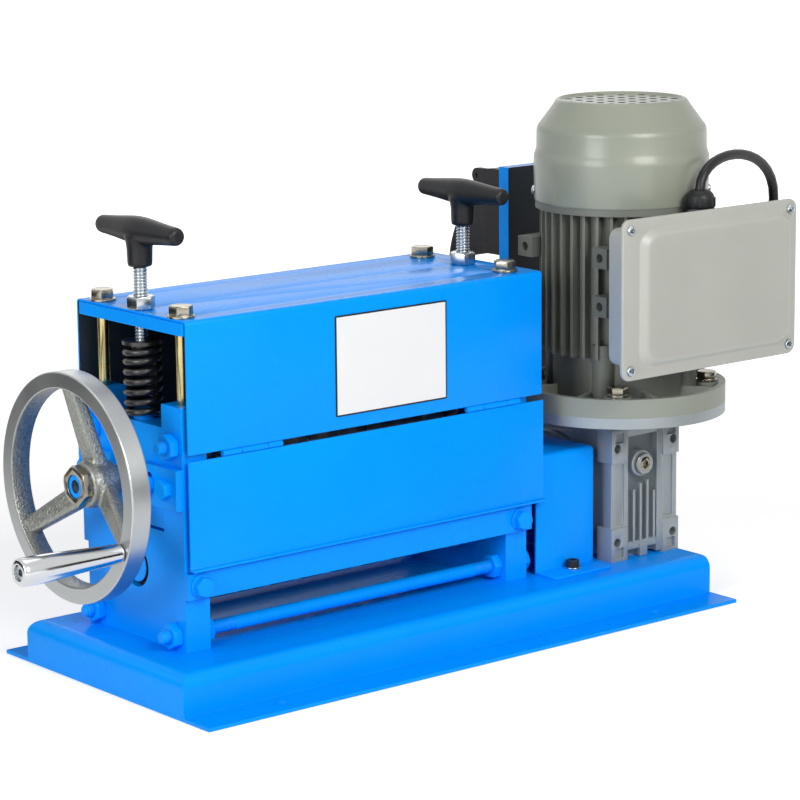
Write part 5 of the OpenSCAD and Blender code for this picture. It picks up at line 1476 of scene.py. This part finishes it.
@dataclass
class Gearbox:
    """Worm gearbox casting with its ribbed faces."""

    x: float = 248.0
    half: float = 41.5
    front: float = -76.0
    back: float = 68.0
    low: float = 37.0
    top: float = 159.0
    wheel: Pair = (8.0, 98.0)
    worm_y: float = -42.0
    worm_boss: float = 24.0
    lug: float = 19.5
    lug_height: float = 31.0
    hole: Pair = (34.5, 43.5)
    hole_r: float = 4.25
    rib_step: float = 8.4
    rib: float = 2.4
    rib_tops: tuple[float, ...] = (100, 105, 107, 96)
    floor: Pair = (4.2, 9.0)
    floor_area: float = 20.0
    plug: Point = (244.0, -76.0, 124.0)

    def build(self) -> None:
        """Builds and dresses the casting and its plug."""
        self.casting()
        self.filler_plug()

    def casting(self) -> None:
        """Casts the housing: a core, bosses, and the same ribbed face at the front and back."""
        left, right = self.x - self.half, self.x + self.half
        body = block("gearbox_casting", (left + 5, self.front + 8, self.low + 3),
                     (right - 5, self.back - 8, self.top - 3))
        wheel = [(left, 48), (left + 1, 49), (right - 1, 49), (right, 48)]
        worm = [(self.low, self.worm_boss), (self.top, self.worm_boss)]
        cut(body, turned("wheel_boss", wheel, 96, (0, *self.wheel), RIGHT),
            turned("worm_boss", worm, 64, (self.x, self.worm_y, 0)),
            turned("plug_boss", [(0.5, 11.3), (1.2, 12), (12, 12)], 48, self.plug, BACK), how="UNION")
        for way, face in ((1, self.front), (-1, self.back)):
            cut(body, *self.raised(way, face), how="UNION")
            cut(body, *self.sunk(way, face))
        soften(body, 0.4, 2, 40)
        PAINT.coat(body.data, "gearbox", "gearbox_low", self.recessed)
        finish(body, "frame", "gearbox", ["gearbox_housing"], angle=30)

    def recessed(self, face: bpy.types.MeshPolygon) -> bool:
        """Says whether a face is the floor of a recess."""
        depth = min(face.center.y / MM - self.front, self.back - face.center.y / MM)
        wide = face.area > self.floor_area * MM * MM
        return wide and abs(face.normal.y) > FLAT and self.floor[0] < depth < self.floor[1]

    def slab(self, way: int, face: float, spans: Sequence[float], depths: Pair) -> Object:
        """Makes a block on one face, from its ends along X and Z and its depths below the face."""
        near, far = sorted(face + way * depth for depth in depths)
        return block("slab", (self.x + spans[0], near, spans[2]), (self.x + spans[1], far, spans[3]))

    def raised(self, way: int, face: float) -> list[Object]:
        """Makes what stands up on one face: the frame, the lugs and the ribs.

        Args:
            way: 1 on the front face and -1 on the back.
            face: The face's place along Y.

        Returns:
            The blocks to add.
        """
        half, low, top, tall = self.half, self.low, self.top, self.lug_height
        rows = [((-half + 1, -20, low + 2, top - 2), (2, 12)), ((16, half - 1, low + 2, top - 2), (2, 12)),
                ((-21, 17, low + 8, low + 15), (3, 12)), ((-21, 17, top - 9, top - 3), (3, 12)),
                ((-5, 4, low + 0.5, low + 12), (1.5, 12))]
        lugs = ((-half, -half + self.lug), (half - self.lug, half))
        rows += [((*lug, z, z + tall), (0, 20)) for lug in lugs for z in (low, top - tall)]
        rows += [((-13 + self.rib_step * i, self.rib - 13 + self.rib_step * i, low + 14, z), (2.4, 12))
                 for i, z in enumerate(self.rib_tops)]
        return [self.slab(way, face, *row) for row in rows]

    def sunk(self, way: int, face: float) -> list[Object]:
        """Makes what is sunk into one face: screw holes, pockets in the lugs and the strips between them.

        Args:
            way: 1 on the front face and -1 on the back.
            face: The face's place along Y.

        Returns:
            The tools to cut with.
        """
        half, low, top = self.half, self.low, self.top
        tools = []
        for sx in (-1, 1):
            pocket = sorted((sx * (half - 4), sx * (half - 15)))
            strip = sorted((sx * (half - 6), sx * (half - 17)))
            for sz, z in ((-1, low + 3), (1, top - 13)):
                place = (self.x + sx * self.hole[0], face, self.wheel[1] + sz * self.hole[1])
                tools.append(turned("drill", [(-1, self.hole_r), (14, self.hole_r)], 32, place, (0, way, 0)))
                tools.append(self.slab(way, face, (*pocket, z, z + 9.5), (-1, 3.5)))
            tools.append(self.slab(way, face, (*strip, low + 33, top - 33), (1, 4)))
        return tools

    def filler_plug(self) -> None:
        """Sets the socket plug of the oil filler."""
        profile = [(-4, 7.0), (0.2, 7.0), (0.2, 9.4), (0.6, 9.8), (2.4, 9.8), (3.0, 9.3), (3.0, 7.2),
                   (4.2, 6.8)]
        plug = turned("filler_plug", profile, 48, self.plug, FRONT)
        drill(plug, 3.6, (0.4, 6), 6, self.plug, FRONT)
        soften(plug, 0.2, 2, 50)
        finish(plug, "frame", "pale_zinc")


@dataclass
class Studio:
    """Camera, lights, floor and backdrop, in metres. The camera was fitted to the machine's straight edges.

    A soft box has a name, a place, an aim, a size and a power. A dark card has a name, a place and a size.
    """

    azimuth: float = -39.216
    elevation: float = 11.46
    roll: float = -0.561
    focal_px: float = 3063.57
    place: Point = (-1.6308, -2.0281, 0.7312)
    sensor: float = 36.0
    floor_size: float = 80.0
    floor_z: float = -0.0005
    boxes: tuple = (
        ("Key", (-0.3, -2.7, 1.7), (0.0, 0.0, 0.2), 1.4, 62.0),
        ("Side", (-2.6, -0.6, 1.0), (-0.1, 0.0, 0.2), 1.2, 34.0),
        ("Top", (0.2, 0.3, 2.8), (0.0, 0.0, 0.2), 1.6, 10.0),
        ("Back", (1.6, 2.4, 1.6), (0.1, 0.0, 0.3), 1.5, 6.0),
    )
    cards: tuple = (
        ("right_flag", (0.5, -0.72, 0.08), (0.8, 0.5)),
        ("left_flag", (-0.85, 0.55, 0.08), (0.8, 0.5)),
        ("back_flag", (0.2, 0.42, 0.11), (0.95, 0.21)),
    )
    card_aim: Point = (0.0, 0.0, 0.15)

    def build(self) -> None:
        """Sets up the studio."""
        self.camera()
        self.floor()
        self.lights()
        self.flags()
        self.world()
        bpy.context.scene.view_settings.view_transform = "Standard"

    def camera(self) -> None:
        """Places the camera at the photograph's angle."""
        az, el, roll = (math.radians(a) for a in (self.azimuth, self.elevation, self.roll))
        back = Vector((math.sin(az) * math.cos(el), -math.cos(az) * math.cos(el), math.sin(el)))
        side = Vector(UP).cross(back).normalized()
        up = back.cross(side)
        right = side * math.cos(roll) + up * math.sin(roll)
        over = up * math.cos(roll) - side * math.sin(roll)
        data = bpy.data.cameras.new("Camera")
        data.sensor_width = self.sensor
        data.sensor_fit = "HORIZONTAL"
        data.lens = self.focal_px / IMAGE_SIDE * self.sensor
        data.clip_end = 100.0
        camera = bpy.data.objects.new("Camera", data)
        axes = Matrix((right, over, back)).transposed().to_4x4()
        camera.matrix_world = Matrix.Translation(self.place) @ axes
        bpy.context.scene.collection.objects.link(camera)
        bpy.context.scene.camera = camera

    def floor(self) -> None:
        """Lays a pale floor that keeps the machine's shadow."""
        floor = start("studio_floor", bpy.ops.mesh.primitive_plane_add, size=self.floor_size,
                      location=(0, 0, self.floor_z))
        material = bpy.data.materials.new("Matt white paper")
        tree = bare_tree(material)
        paper = add_node(tree, "ShaderNodeBsdfDiffuse", {"Color": linear("#f4f4f4")})
        # The paper glows more away from the machine, so that no horizon shows
        coords = add_node(tree, "ShaderNodeTexCoord").outputs["Object"]
        away = add_node(tree, "ShaderNodeVectorMath", {"operation": "LENGTH"}, {0: coords})
        rise = add_node(tree, "ShaderNodeMapRange",
                        {"From Min": 0.6, "From Max": 2.5, "To Min": 0.42, "To Max": 1.0},
                        {"Value": away.outputs["Value"]})
        glow = add_node(tree, "ShaderNodeEmission", {}, {"Strength": rise.outputs["Result"]})
        dark = add_node(tree, "ShaderNodeEmission", {"Strength": 0.0})
        lift = add_node(tree, "ShaderNodeMixShader", {},
                        {"Fac": self.seen(tree), 1: dark.outputs[0], 2: glow.outputs[0]})
        both = add_node(tree, "ShaderNodeAddShader", {}, {0: paper.outputs[0], 1: lift.outputs[0]})
        add_node(tree, "ShaderNodeOutputMaterial", {}, {"Surface": both.outputs[0]})
        floor.data.materials.append(material)

    @staticmethod
    def seen(tree: Tree) -> Socket:
        """Says whether a ray comes from the camera, straight, mirrored or through glass.

        Args:
            tree: The node tree to add to.

        Returns:
            A socket that is 1 for such a ray.
        """
        path = add_node(tree, "ShaderNodeLightPath").outputs
        seen = path["Is Camera Ray"]
        for kind in ("Is Glossy Ray", "Is Transmission Ray"):
            seen = add_node(tree, "ShaderNodeMath", {"operation": "MAXIMUM"},
                            {0: seen, 1: path[kind]}).outputs[0]
        return seen

    def lights(self) -> None:
        """Hangs the soft boxes."""
        for name, place, target, size, power in self.boxes:
            data = bpy.data.lights.new(name, "AREA")
            data.size = size
            data.energy = power
            lamp = bpy.data.objects.new(name, data)
            lamp.location = place
            lamp.rotation_euler = (Vector(target) - Vector(place)).to_track_quat("-Z", "Y").to_euler()
            bpy.context.scene.collection.objects.link(lamp)

    def flags(self) -> None:
        """Stands dark cards beside the set, for metal to reflect."""
        material = bpy.data.materials.new("Black felt")
        tree = bare_tree(material)
        felt = add_node(tree, "ShaderNodeBsdfDiffuse", {"Color": linear("#0a0a0b")})
        add_node(tree, "ShaderNodeOutputMaterial", {}, {"Surface": felt.outputs[0]})
        for name, place, size in self.cards:
            card = start(name, bpy.ops.mesh.primitive_plane_add, size=1.0, location=place)
            card.scale = (*size, 1.0)
            card.rotation_euler = (Vector(self.card_aim) - Vector(place)).to_track_quat("Z", "Y").to_euler()
            for ray in ("camera", "diffuse", "shadow", "transmission"):
                setattr(card, "visible_" + ray, False)
            card.data.materials.append(material)

    def world(self) -> None:
        """Surrounds the machine with soft white light."""
        world = bpy.data.worlds.new("Studio")
        bpy.context.scene.world = world
        tree = bare_tree(world)
        strength = add_node(tree, "ShaderNodeMapRange", {"To Min": 0.24, "To Max": 1.0},
                            {"Value": self.seen(tree)})
        sky = add_node(tree, "ShaderNodeBackground", {"Color": (1.0, 1.0, 1.0, 1.0)},
                       {"Strength": strength.outputs["Result"]})
        add_node(tree, "ShaderNodeOutputWorld", {}, {"Surface": sky.outputs[0]})


def main() -> None:
    """Builds the studio and the machine."""
    logging.basicConfig(level=logging.INFO, format="%(name)s: %(message)s")
    Studio().build()
    PAINT.dress_nodes()
    for assembly in (TerminalBox(), Guards(), Stand(), BladeLoading(), CrankWheel(), Motor(), Gearbox()):
        assembly.build()


if __name__ == "__main__":
    main()
